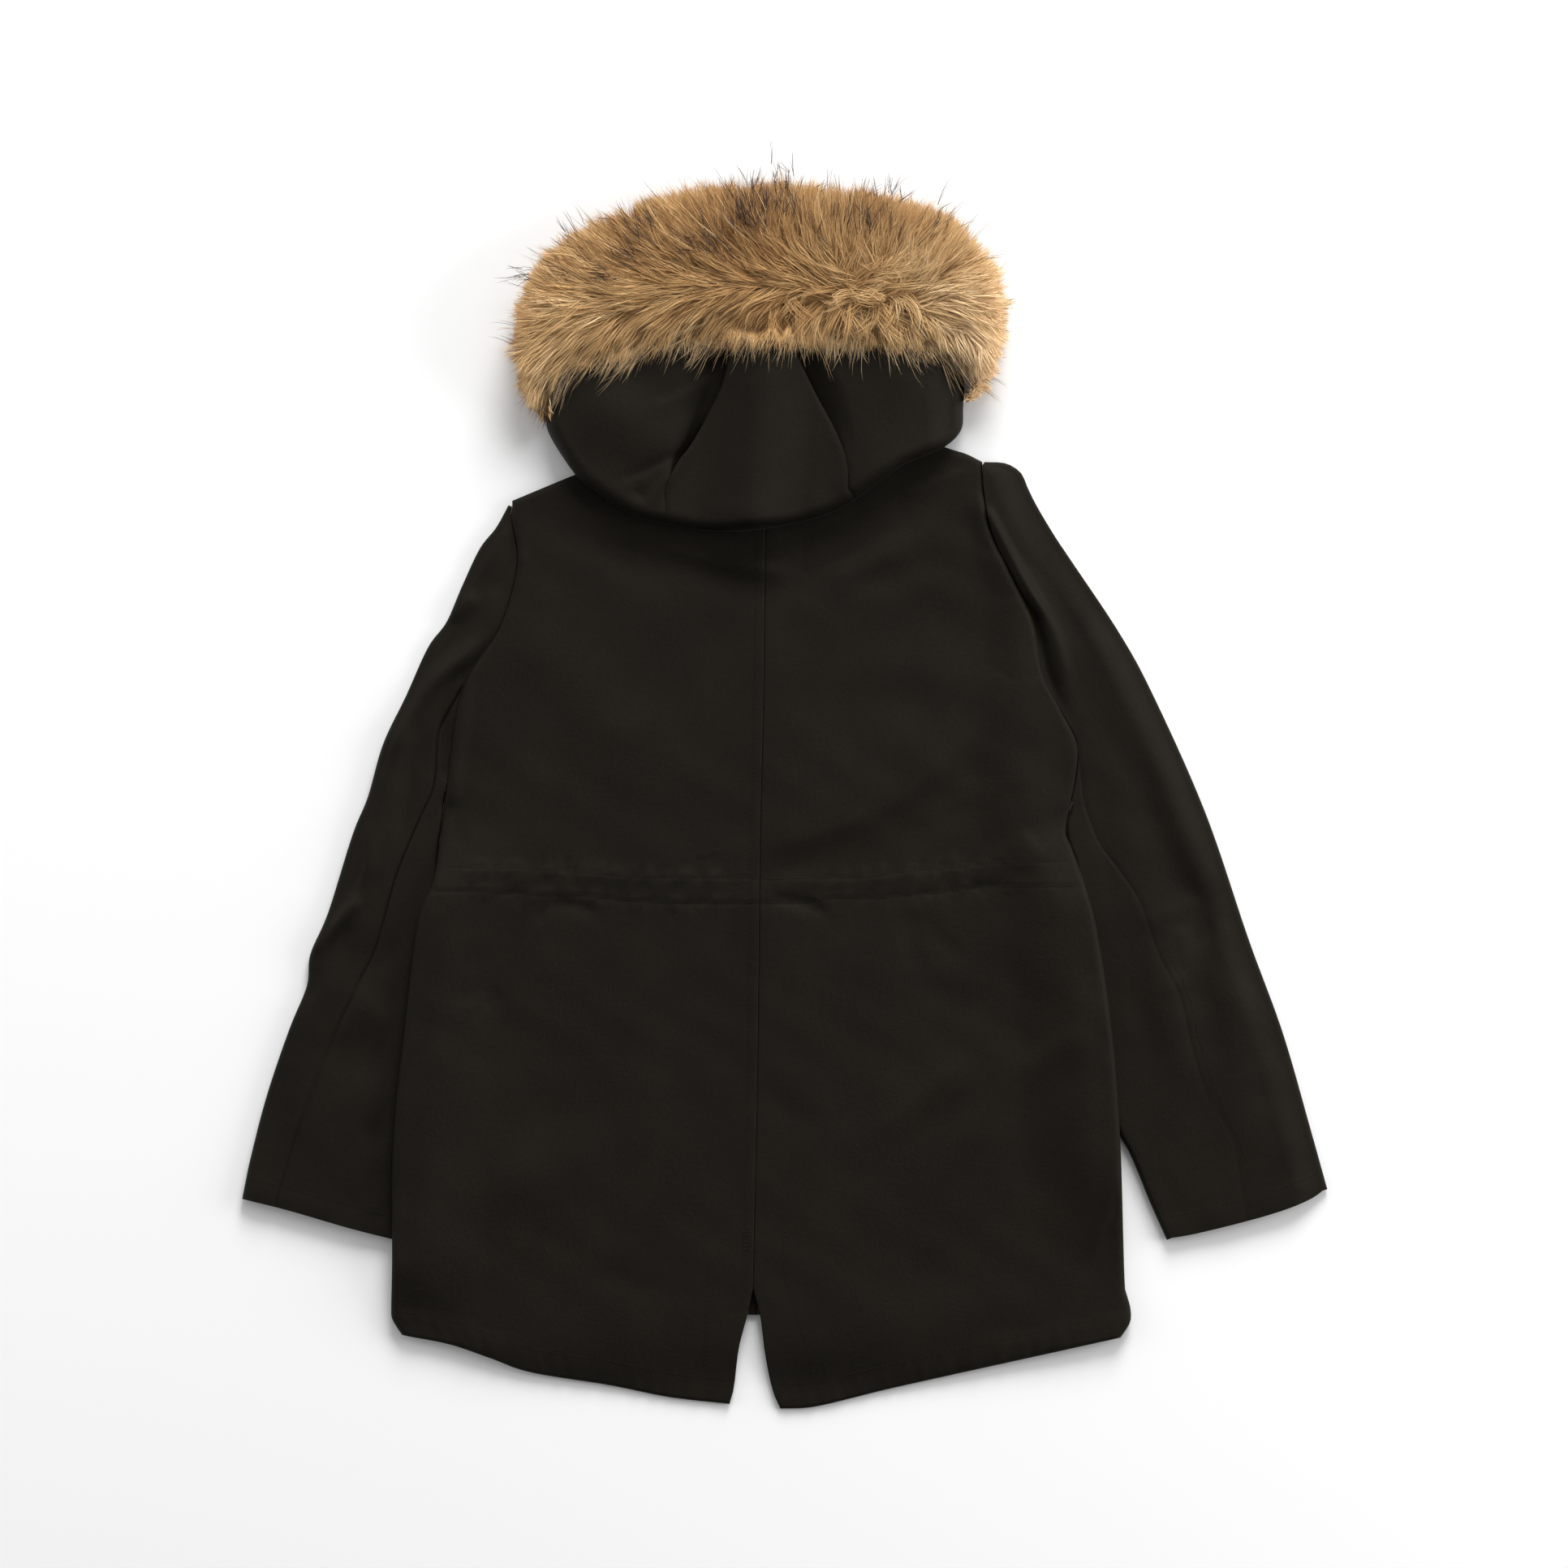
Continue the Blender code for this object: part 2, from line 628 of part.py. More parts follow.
def make_sleeve(side, finish, collection):
    """Top and under sleeve of one side, lying flat."""
    sign = -1.0 if side == "left" else 1.0
    radius = SLEEVE_DEPTH / 2
    step = SEAM_STEP[side]
    shares = np.linspace(0, 1, SLEEVE_ROWS + 1)
    armhole = BodyHalf(side).armhole
    armhole = armhole + normals(armhole, sign) * (SEAM + 0.1)

    # The outer edge, a row for each armhole step and then for each seam row.
    outer = spline(SLEEVE_OUTER[side])
    at_seam = np.interp(
        -OUTER_Y_AT_SEAM[side], -outer[:, 1], walk(outer)
    )
    on_armhole = ARMHOLE_STEPS - step
    rows = np.concatenate(
        [np.linspace(0, at_seam, on_armhole + 1), at_seam + (1 - at_seam) * shares[1:]]
    )
    outer = at_share(outer, rows)
    outward = normals(outer, -sign)
    outer_inset = outer - outward * radius

    # The seams, from the armhole to the cuff.
    cuff = spline(CUFF[side])
    start = armhole[step]
    back_seam = at_share(spline([tuple(start)] + SLEEVE_SEAM[side]), shares)
    front_end = at_share(cuff, np.array([FRONT_SEAM_AT_CUFF]))[0]
    front_seam = start + (front_end - start) * shares[:, None]
    front_seam[:, 0] += sign * FRONT_SEAM_BOW * np.sin(np.pi * shares)

    # The inner edge, the last rows of the armhole and then the free fold.
    shares_below = np.linspace(0, 1, SLEEVE_ROWS - step)
    fold = at_share(spline(SLEEVE_INNER[side]), shares_below)
    inward = normals(fold, sign)
    fold_inset = fold - inward * radius
    inner_inset = np.vstack([armhole[step::-1], fold_inset])
    inward = np.vstack([np.repeat(inward[:1], step + 1, axis=0), inward])

    top_end = armhole[:step:-1].copy()
    top_end[0] = (x_at(armhole, outer_inset[0, 1] - 1.0), outer_inset[0, 1] - 1.0)
    for seam_line in (back_seam, front_seam):
        seam_line[0] = start
    gap = SEAM / 2
    ends, starts = [], []
    for seam_line in (back_seam, front_seam):
        away = normals(seam_line, -sign) * gap
        ends.append(np.vstack([top_end, seam_line + away]))
        starts.append(seam_line - away)
    for line in (*starts, inner_inset):
        line[0] = start + (line[1] - start) * UNDER_TIP
    top = [ribbon(end, outer_inset, TOP_COLS) for end in ends]
    under = [ribbon(begin, inner_inset, UNDER_COLS) for begin in starts]

    skins = sleeve_skins(side, top[0], top[1], outward)
    loft_wall(side + "_top_sleeve", *skins, finish, collection)
    skins = sleeve_skins(side, under[0], under[1], inward)
    cells = np.ones((SLEEVE_ROWS, skins[0].shape[1] - 1), bool)
    cells[:step + 1, UNDER_COLS:UNDER_COLS + 1 + len(EDGE_ANGLES)] = False
    loft_wall(side + "_under_sleeve", *skins, finish, collection, cells)


# ------------------------------------------------------------ hood
HOOD_PITCH = 17.0     # between points along the hood's outline
HOOD_COLS = 8
LINING_PITCH = 24.0
LINING_COLS = 6
LINING_SPAN = (0.04, 0.96)      # shares of the outline it reaches from and to
LINING_FUR_SPAN = (0.06, 0.94)  # and of the line along the fur


def hood_floor(x, y):
    """Level of the lowest part of the hood: the back, or the surface."""
    left, right = spline(SHOULDER["left"]), spline(SHOULDER["right"])
    shoulder = np.where(x < CENTRE_BACK[-1][0], y_at(left, x), y_at(right, x))
    beyond = ease((y - shoulder - HOOD_DROP_START) / HOOD_DROP_RUN)
    return HOOD_FLOOR * (1 - beyond) + HOOD_CLEAR


def hood_top(x, y):
    """Level of the hood's upper skin away from its rounded edge."""
    return HOOD_FLOOR + HOOD_HEIGHT + fold_height(HOOD_FOLDS, x, y)


def hood_lines(step, corners):
    """Outline rows from the first to the last corner share, with normals."""
    dense = spline(HOOD_OUTLINE)
    count = max(3, round((corners[1] - corners[0]) * walk_length(dense) / step))
    fine = np.linspace(0, 1, 401)
    line = at_share(dense, fine)
    out = normals(line, 1.0)
    rows = np.linspace(*corners, count + 1)
    line, out = (
        np.stack([np.interp(rows, fine, c) for c in table.T], axis=-1)
        for table in (line, out)
    )
    return line, out


def walk_length(dense):
    """Plan length of a dense curve."""
    return np.hypot(*np.diff(dense[:, :2], axis=0).T).sum()


def nearest_share(dense, point):
    """Share of a curve's length nearest to a point."""
    return walk(dense)[np.argmin(np.hypot(*(dense - point).T))]


def hood_panel(name, corners, sides, fur, finish, collection):
    """One panel of the hood, in strips from its rounded outline to the fur.

    corners are shares of the outline, fur is the line along the fur, and
    sides are the seams that bound the panel, or None where it has none.
    """
    line, out = hood_lines(HOOD_PITCH, corners)
    inset = line - out * HOOD_FOLD
    shares = np.linspace(0, 1, HOOD_COLS + 1)
    fur = at_share(spline(fur), np.linspace(0, 1, len(line)))
    ends = []
    for k, seam in zip((0, -1), sides):
        path = [tuple(inset[k])] + (seam or []) + [tuple(fur[k])]
        ends.append(at_share(spline(path), shares))
    first, last = ends
    plan = coons(first, last, inset, fur)
    turn = FOLD_ANGLES[:0:-1]
    i_of = [0] * len(turn) + list(range(HOOD_COLS + 1))
    angle = np.radians(list(turn) + [90.0] * (HOOD_COLS + 1))
    base = plan[:, i_of]
    away = out[:, None] * np.cos(angle)[None, :, None]
    skins = []
    for depth in (0.0, WALL):
        flat = base + away * (HOOD_FOLD - depth)
        floor = hood_floor(flat[..., 0], flat[..., 1]) + HOOD_CLEAR
        top = hood_top(base[..., 0], base[..., 1]) - depth
        level = floor + (top - floor) * np.sin(angle)[None]
        skins.append(np.dstack([flat, level]))
    loft_wall(name, *skins, finish, collection)


def make_hood(finish, collection):
    """Three outer panels over the hood's folded under layers."""
    outline = spline(HOOD_OUTLINE)
    left, right = (
        nearest_share(outline, HOOD_SEAM_CORNER[side]) for side in ("left", "right")
    )
    gap = SEAM / 2 / walk_length(outline)

    def beside(side, way):
        """The panel seam, moved half a seam gap to one side."""
        return [(x + way * SEAM / 2, y) for x, y in HOOD_SEAM[side]]

    def fur_part(start, stop, trim=(0.0, 0.0)):
        """The part of the line along the fur between two of its points."""
        part = [list(p) for p in FUR_LINE[start:stop]]
        part[0][0] += trim[0]
        part[-1][0] -= trim[1]
        return part

    half = SEAM / 2
    hood_panel(
        "hood_left", (0.0, left - gap), (None, beside("left", -1)),
        fur_part(0, 4, (0.0, half)), finish, collection,
    )
    hood_panel(
        "hood_centre", (left + gap, right - gap),
        (beside("left", 1), beside("right", -1)), fur_part(3, 5, (half, half)),
        finish, collection,
    )
    hood_panel(
        "hood_right", (right + gap, 1.0), (beside("right", 1), None),
        fur_part(4, 8, (half, 0.0)), finish, collection,
    )

    # The nape of the hood and its lining, folded inside as one solid.
    line, out = hood_lines(LINING_PITCH, LINING_SPAN)
    line = line - out * (HOOD_FOLD + LINING_INSET)
    fur = at_share(spline(FUR_LINE), np.linspace(*LINING_FUR_SPAN, len(line)))
    plan = ribbon(line, fur, LINING_COLS)
    x, y = plan[..., 0], plan[..., 1]
    lining = np.dstack([plan, hood_top(x, y) - WALL - LINING_DEPTH])
    nape = np.dstack([plan, hood_floor(x, y)])
    loft_wall("hood_under", lining, nape, finish, collection)


# ------------------------------------------------------------ fur ruff
def make_fur(finish, collection):
    """The fur ruff, as far as its locks reach, flat where it rests."""
    sections = at_share(
        spline(FUR_SECTIONS), np.linspace(0, 1, FUR_STATIONS + 1)
    )
    arc = np.radians(np.linspace(0, 180, 11))
    rings = []
    for k, section in enumerate(map(FurSection._make, sections)):
        outer = np.array([section.outer_x, section.outer_y])
        inner = np.array([section.inner_x, section.inner_y])
        height = section.height
        tuft = FUR_TUFT * (-1) ** k * min(1.0, height / FULL_FUR)
        away = (outer - inner) / np.linalg.norm(outer - inner)
        outer = outer + away * (tuft - FUR_TUFT)
        middle, reach = (outer + inner) / 2, (outer - inner) / 2
        waist = height * FUR_WAIST
        ring = []
        for a in arc:
            c = math.copysign(abs(math.cos(a)) ** FUR_ROUNDNESS, math.cos(a))
            s = math.sin(a) ** FUR_ROUNDNESS
            z = waist + (height - waist) * s + tuft * s * TUFT_RISE
            ring.append((*(middle + reach * c), z))
        for c in (-FUR_SOLE, FUR_SOLE):
            ring.append((*(middle + reach * c), 0.0))
        rings.append(ring)
    loft_rings("fur_ruff", np.array(rings), finish, collection)


# ------------------------------------------------------------ the coat
def main():
    """Build every piece of the parka."""
    for thing in list(bpy.data.objects):
        bpy.data.objects.remove(thing)
    collection = bpy.data.collections.new("fur_trimmed_parka")
    bpy.context.scene.collection.children.link(collection)
    finishes = {
        "cotton": material("dark_cotton", COLOURS["cotton"], 0.85),
        "zip": material("zip_tape", COLOURS["zip"], 0.6),
        "fur": material("tan_fur", COLOURS["fur"], 0.8),
    }
    make_body(finishes, collection)
    for side in ("left", "right"):
        make_sleeve(side, finishes["cotton"], collection)
    make_hood(finishes["cotton"], collection)
    make_fur(finishes["fur"], collection)


main()
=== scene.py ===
# Fur trimmed parka laid out face down, its back upwards, on a pale floor.
# Tables are in millimetres from the middle of the coat: x to the right,
# y towards the hood, z up from the floor. Meshes are made in metres.
import math

import bmesh
import bpy
import numpy as np
from mathutils.bvhtree import BVHTree
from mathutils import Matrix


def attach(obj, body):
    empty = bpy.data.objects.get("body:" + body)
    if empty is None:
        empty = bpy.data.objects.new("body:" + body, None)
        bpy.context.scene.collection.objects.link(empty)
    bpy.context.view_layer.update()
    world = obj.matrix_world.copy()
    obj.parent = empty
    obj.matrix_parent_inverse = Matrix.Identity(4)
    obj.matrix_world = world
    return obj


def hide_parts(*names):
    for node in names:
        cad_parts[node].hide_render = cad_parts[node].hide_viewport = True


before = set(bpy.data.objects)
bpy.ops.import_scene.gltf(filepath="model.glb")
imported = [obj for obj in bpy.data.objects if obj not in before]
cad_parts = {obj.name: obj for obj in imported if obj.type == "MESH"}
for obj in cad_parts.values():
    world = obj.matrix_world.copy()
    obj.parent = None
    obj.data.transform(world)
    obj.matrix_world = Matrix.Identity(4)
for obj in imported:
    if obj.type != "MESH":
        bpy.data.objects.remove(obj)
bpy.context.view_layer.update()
mm = 0.001
middleY = -2.5  # table y that lies at the origin

coat = {
    "clothThickness": 2.0,
    "seamGap": 0.3,
    "sewnGap": 0.05,  # where a sleeve is set into its armhole
    "bodyDepth": 10.0,  # front and back lying on each other
    "sideFold": 6.0,  # plan depth of the rounded fold along side and shoulder
    "backRoll": 0.75,  # how full the back is over that fold, 1 for a plain round
    "sleeveLift": 9.8,  # how far the body rises where it lies on a sleeve
    "liftFlat": 21.0,
    "liftEnd": 84.0,
    "liftTopY": -16.0,
    "liftRun": 90.0,
    "lowestTrough": -3.2,
    "unevenness": 0.8,
    "zipWidth": 8.0,
    "frontHemY": -445.0,
    "frontNeckDrop": 62.0,
    "fishtailY": -464.0,  # below it the back has no front under it
    "fishtailRun": 50.0,
    "fishtailHeight": 3.7,
    "hemBand": 21.0,  # turned up hem, from the edge to its stitching
    "hemRise": 0.8,
    "hemRipple": 0.28,
    "hemEdgeDrop": 0.9,
    "channelRise": 0.3,
    "stitchGroove": 0.6,
    "vent": {"lap": 0.15, "lapWidth": 6.5, "groove": 0.4},
    "armholeSteps": 12,
    "shoulderStep": 5,  # step of the armhole from which the rows turn up to the shoulder
    "gridStep": 2.8,
    "sideStrip": 55.0,  # columns along the side, then those over the rest
    "middleStrip": 245.0,
}
sideLine = {
    "left": [
        (-326, -462), (-334, -449), (-335, -438), (-334, -400), (-333, -298),
        (-324, -207), (-312, -112),
        (-299, -75), (-294, -44), (-289, -3), (-284, 39), (-279, 73),
        (-268, 103), (-245, 137), (-233, 170), (-228, 201), (-233, 232),
        (-232, 248),
    ],
    "right": [
        (286, -464), (294, -451), (294, -438), (290, -424), (289, -409),
        (285, -293), (278, -203),
        (266, -121), (256, -81), (244, -47), (239.5, -31), (248, 11),
        (249, 42), (235, 70), (220, 101), (211, 146), (190, 191),
        (176, 221), (170, 253), (168, 281),
    ],
}
underarmY = {"left": 6.0, "right": -6.0}
cuffEndY = {"left": -392.0, "right": -300.0}  # where the body leaves the sleeve
liftFade = {"left": 70.0, "right": 110.0}
centreBack = [(-27, -422), (-23, -224), (-21, -51), (-18, 87), (-16, 284)]
ventEdge = {
    "left": [(-47, -521), (-43, -506), (-39, -473), (-32, -446), (-27, -422)],
    "right": [(-4, -525), (-11, -508), (-17, -478), (-21, -446), (-27, -422)],
}
hemLine = {
    "left": [
        (-326, -462), (-285, -470), (-250, -482), (-216, -494), (-149, -505),
        (-99, -515), (-47, -521),
    ],
    "right": [
        (-4, -525), (27, -523), (85, -509), (147, -495), (219, -479), (286, -464),
    ],
}
shoulderLine = {
    "left": [(-232, 248), (-179, 270), (-115, 295), (-81, 285), (-16, 284)],
    "right": [(-16, 284), (50, 293), (81, 314), (135, 294), (154, 288), (168, 281)],
}
# soft folds: x and y of both ends, height, width
backFolds = [
    (-232, 200, -276, 95, 3.5, 16),  # crisp edge of the left armhole
    (-276, 95, -286, 0, 3.0, 16),
    (172, 240, 186, 200, 3.0, 22),  # soft edge of the right armhole
    (186, 200, 200, 160, 3.6, 26), (200, 160, 200, 88, 4.2, 32),
    (200, 88, 194, 34, 4.5, 40), (194, 34, 208, -40, 4.5, 42),  # fullness below it
    (-270, -66, -60, -75, 0.8, 14),  # drawn waist channel
    (0, -77, 205, -66, 0.8, 14),
    (64, -300, 160, -224, 1.1, 34),  # long drags in the skirt
    (188, -245, 262, -198, 1.0, 30),
    (-250, -330, -140, -300, 1.0, 46),
    (-200, 120, -150, 60, 1.5, 40),
]
# finer creases: height, width, lean, path; a lean above 0 makes the side on
# the left of the path steep
backCreases = [
    (-3.0, 16, 0.2, [(-200, 232), (-140, 206), (-80, 192), (-24, 178), (20, 180)]),
    (2.6, 8, 0.3, [(-118, 214), (-90, 206), (-64, 198), (-30, 192), (14, 184)]),
    (-4.0, 18, -0.2, [(118, 274), (92, 246), (62, 226), (24, 208), (-20, 202)]),
    (-1.8, 14, -0.2, [(98, 232), (62, 214), (34, 196), (8, 172), (0, 140)]),
    (1.6, 12, 0.2, [(126, 226), (90, 204), (58, 186), (30, 160)]),
    (-1.4, 12, 0.0, [(150, 200), (112, 190), (70, 178), (44, 186)]),
    (-1.2, 20, 0.0, [(206, 110), (172, 132), (120, 150), (70, 150)]),
    (1.4, 20, 0.0, [(196, 60), (150, 90), (96, 104), (40, 96)]),
    (5.0, 27, 0.42, [
        (176, 78), (150, 42), (120, 14), (84, -10), (44, -27), (4, -40), (-44, -50),
    ]),
    (1.5, 26, 0.0, [(130, 64), (96, 44), (62, 24), (24, 8)]),
    (0.7, 12, 0.3, [(220, 18), (168, 0), (120, -18), (70, -40), (30, -52)]),
    (-0.6, 12, 0.0, [(238, -20), (200, -34), (160, -44), (126, -48)]),
    (0.6, 10, 0.2, [(246, -6), (222, -14), (196, -20)]),
    (-0.9, 8, 0.3, [(224, -48), (214, -38), (206, -26)]),
    (-0.5, 7, 0.0, [(-286, 0), (-280, -28), (-272, -46), (-262, -58)]),
    (-1.3, 26, 0.0, [(-140, 8), (-96, -22), (-60, -36), (-30, -38)]),
    (-1.0, 18, 0.0, [(-262, 30), (-230, -8), (-204, -34)]),
    (1.0, 24, 0.0, [(-196, 84), (-150, 44), (-118, 4)]),
    (-1.4, 6, 0.3, [(-200, -92), (-172, -98), (-156, -106)]),
    (-1.2, 6, 0.3, [(-214, -110), (-200, -98), (-190, -92)]),
    (-1.6, 6, 0.2, [(-16, -90), (8, -92), (26, -98), (38, -108)]),
    (-1.5, 16, 0.0, [(-276, -128), (-262, -150), (-266, -178), (-272, -196)]),
    (1.2, 7, 0.2, [(-276, -188), (-262, -178), (-250, -172)]),
    (-1.2, 8, 0.0, [(-258, -184), (-248, -174), (-240, -168)]),
    (-1.3, 12, 0.2, [(116, -94), (124, -116), (140, -134), (160, -148)]),
    (-1.2, 10, 0.0, [(104, -96), (108, -130), (112, -158)]),
    (-1.2, 18, 0.0, [(112, -158), (136, -178), (168, -176), (186, -160)]),
    (1.3, 22, 0.0, [(176, -96), (206, -140), (232, -180)]),
    (0.9, 9, 0.3, [(62, -300), (100, -272), (134, -244), (166, -222)]),
    (-0.7, 12, 0.2, [(78, -312), (118, -286), (158, -262), (204, -236)]),
    (0.8, 10, 0.2, [(186, -248), (224, -222), (268, -198)]),
    (-0.8, 26, 0.0, [(-266, -306), (-214, -288), (-164, -284), (-110, -306)]),
    (1.0, 26, 0.0, [(-290, -350), (-236, -338), (-170, -340)]),
    (-0.8, 20, 0.0, [(34, -372), (60, -394), (108, -406), (166, -402), (204, -388)]),
    (0.9, 17, 0.0, [(50, -442), (110, -450), (176, -440), (230, -424)]),
    (-0.6, 12, 0.2, [(-70, -440), (-100, -424), (-150, -414), (-190, -418)]),
    (-1.0, 14, 0.0, [(-20, -240), (-8, -262), (14, -278), (40, -286)]),
    (-1.2, 5, 0.0, [(289, -318), (284, -350), (272, -382), (265, -398)]),
    (1.8, 6, 0.3, [(283, -314), (277, -350), (265, -382), (258, -396)]),
    (1.3, 5, 0.4, [(92, 252), (115, 258), (126, 263), (147, 271), (168, 279)]),
]
# side and centre y of the rows of the body, from above the hem to the underarm
bodyRows = [(-434, -438), (-412, -422), (-388, -396)] + [
    (y, y) for y in (-362, -332, -300, -268, -236, -204, -172, -140, -110, -88, -66, -45, -20)
]
# stitched rows of the drawn waist channel, and the lines of the vent facing
waistRows = {
    "upper": [
        (-296, -62), (-258, -64), (-203, -65), (-146, -70), (-106, -72), (-40, -72),
        (-21, -74), (17, -73), (63, -72), (89, -69), (115, -66), (139, -64),
        (177, -60), (203, -59), (247, -58),
    ],
    "lower": [
        (-300, -83), (-258, -84), (-209, -87), (-169, -88), (-133, -92), (-83, -94),
        (-21, -94), (11, -94), (43, -90), (85, -89), (115, -86), (139, -84),
        (165, -80), (199, -80), (252, -80),
    ],
}
ventFacing = {
    "left": [(-53, -377), (-58, -409), (-63, -424), (-67, -470), (-69, -494)],
    "right": [(1, -368), (-1, -401), (6, -429), (13, -455), (19, -471), (24, -500)],
}


def spline(points, perSpan=12):
    p = np.asarray(points, float)
    p = np.vstack([2 * p[0] - p[1], p, 2 * p[-1] - p[-2]])
    t = np.linspace(0, 1, perSpan, endpoint=False)[:, None]
    rows = []
    for a, b, c, d in zip(p, p[1:], p[2:], p[3:]):
        curve = 2 * b + (c - a) * t + (2 * a - 5 * b + 4 * c - d) * t**2
        rows.append(0.5 * (curve + (3 * b - a - 3 * c + d) * t**3))
    return np.vstack(rows + [p[-2:-1]])


def lengths(dense):
    return np.concatenate([[0.0], np.cumsum(np.hypot(*np.diff(dense[:, :2], axis=0).T))])


def atShare(dense, shares):
    total = lengths(dense)
    return np.stack([np.interp(shares, total / total[-1], c) for c in dense.T], axis=-1)


def xAt(dense, y):
    order = np.argsort(dense[:, 1])
    return np.interp(y, dense[order, 1], dense[order, 0])


def yAt(dense, x):
    order = np.argsort(dense[:, 0])
    return np.interp(x, dense[order, 0], dense[order, 1])


def unit(vectors, least=0.0):
    # each scaled to a length of 1; least keeps those that have none finite
    return vectors / (np.linalg.norm(vectors, axis=-1)[..., None] + least)


def normals(curve, side, spread=1):
    # plan normals, taken over a few points so that they turn smoothly
    padded = np.pad(curve, ((spread, spread), (0, 0)), "edge")
    along = unit(padded[2 * spread:] - padded[:-2 * spread])
    return side * np.stack([along[:, 1], -along[:, 0]], axis=-1)


def ease(t):
    t = np.clip(t, 0.0, 1.0)
    return t * t * (3 - 2 * t)


def fall(t):
    return 1 - ease(t)


def bell(gap, width):
    return np.exp(-(gap / width) ** 2)


def foldHeight(folds, x, y):
    # ridges and troughs that meet end to end run on at one height
    ridge = np.zeros(np.broadcast(x, y).shape)
    trough = ridge.copy()
    for x0, y0, x1, y1, height, width in folds:
        dx, dy = x1 - x0, y1 - y0
        t = np.clip(((x - x0) * dx + (y - y0) * dy) / (dx * dx + dy * dy), 0, 1)
        gap = np.hypot(x - x0 - t * dx, y - y0 - t * dy)
        level = height * fall(gap / width)
        ridge, trough = np.maximum(ridge, level), np.minimum(trough, level)
    return ridge + trough


def creaseHeight(creases, x, y):
    # soft ridges and troughs along curves, fading out at both ends
    total = np.zeros(x.shape)
    flatX, flatY, flatTotal = x.ravel(), y.ravel(), total.ravel()
    for height, width, lean, path in creases:
        curve = spline(path, 5)
        shares = lengths(curve) / lengths(curve)[-1]
        reach = 2.6 * width  # the crease is flat beyond this
        low, high = curve.min(axis=0) - reach, curve.max(axis=0) + reach
        near = np.flatnonzero(
            (flatX > low[0]) & (flatX < high[0]) & (flatY > low[1]) & (flatY < high[1])
        )
        if not len(near):
            continue
        px, py = flatX[near], flatY[near]
        best = np.full(len(near), 1e9)
        share, offset = np.zeros(len(near)), np.zeros(len(near))
        for k in range(len(curve) - 1):
            (ax, ay), (bx, by) = curve[k], curve[k + 1]
            dx, dy = bx - ax, by - ay
            size = math.hypot(dx, dy)
            t = np.clip(((px - ax) * dx + (py - ay) * dy) / size**2, 0, 1)
            gap = np.hypot(px - ax - t * dx, py - ay - t * dy)
            closer = gap < best
            best = np.where(closer, gap, best)
            share = np.where(closer, shares[k] + (shares[k + 1] - shares[k]) * t, share)
            side = np.sign(dx * (py - ay) - dy * (px - ax))
            offset = np.where(closer, side, offset)
        spread = width * (1 - lean * offset)
        fade = ease(np.minimum(share, 1 - share) / 0.3) * 0.85 + 0.15
        flatTotal[near] += height * fade * bell(best, spread)
    return flatTotal.reshape(x.shape)


def undulation(x, y):
    # slow unevenness of cloth that has been worn and laid down by hand
    return (
        0.35 * np.sin(x / 21.0 + 1.7 * np.sin(y / 47.0))
        + 0.35 * np.sin(y / 27.0 + 1.3 * np.sin(x / 39.0))
        + 0.2 * np.sin((x + y) / 11.0 + 2.0 * np.sin(y / 31.0))
    )


def linkObject(name, data, material=None):
    if material:
        data.materials.append(material)
    made = bpy.data.objects.new(name, data)
    bpy.context.scene.collection.objects.link(made)
    return made


def register(piece, node=None):
    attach(piece, "root")
    if node:
        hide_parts(node)


def toMetres(points):
    return (np.asarray(points) - np.array([0.0, middleY, 0.0])) * mm


def newMesh(name, points, faces):
    mesh = bpy.data.meshes.new(name)
    mesh.from_pydata(toMetres(points).tolist(), [], faces)
    mesh.shade_smooth()
    return mesh


def clothShell(name, outer, inner, material, cells=None):
    # closed wall between an outer and an inner skin, both grids of points
    rows, cols = outer.shape[:2]
    index = np.arange(rows * cols).reshape(rows, cols)
    corners = np.stack([index[:-1, :-1], index[:-1, 1:], index[1:, 1:], index[1:, :-1]], -1)
    quads = corners[cells] if cells is not None else corners.reshape(-1, 4)
    start = quads.ravel()
    stop = np.roll(quads, -1, axis=1).ravel()
    total = rows * cols
    rim = ~np.isin(start * total + stop, stop * total + start)
    start, stop = start[rim], stop[rim]
    walls = np.stack([stop, start, start + total, stop + total], -1)
    faces = np.vstack([quads, quads[:, ::-1] + total, walls])
    points = np.vstack([outer.reshape(-1, 3), inner.reshape(-1, 3)])
    used, faces = np.unique(faces, return_inverse=True)
    faces = faces.reshape(-1, 4)
    mesh = newMesh(name, points[used], faces.tolist())
    mesh.materials.append(material)
    # inner skins take the lining, which is painted dark as shade
    mesh.materials.append(liningClothPaintedShade)
    onInside = np.zeros(len(faces), int)
    onInside[len(quads):2 * len(quads)] = 1
    mesh.polygons.foreach_set("material_index", onInside)
    build = bmesh.new()
    build.from_mesh(mesh)
    bmesh.ops.recalc_face_normals(build, faces=build.faces)
    build.to_mesh(mesh)
    build.free()
    mesh.set_sharp_from_angle(angle=math.radians(60))
    return linkObject(name, mesh)


print("materials")
clothLook = {
    "dark": (0.0040, 0.0034, 0.0024, 1),
    "middle": (0.0058, 0.0049, 0.0035, 1),
    "light": (0.0078, 0.0066, 0.0045, 1),
    "weavePitch": 0.0007,
    "weaveDepth": 0.00012,
    "fuzzDepth": 0.00025,
    "roughness": (0.52, 0.66),
    "sheen": 0.025,
}


def newMaterial(name, values):
    made = bpy.data.materials.new(name)
    made.use_nodes = True
    shader = made.node_tree.nodes["Principled BSDF"]
    for socket, value in values.items():
        shader.inputs[socket].default_value = value
    return made, made.node_tree, shader


def ramp(tree, source, stops):
    node = tree.nodes.new("ShaderNodeValToRGB")
    while len(node.color_ramp.elements) < len(stops):
        node.color_ramp.elements.new(0.5)
    for element, (place, colour) in zip(node.color_ramp.elements, stops):
        element.position, element.color = place, colour
    tree.links.new(source, node.inputs["Fac"])
    return node.outputs["Color"]


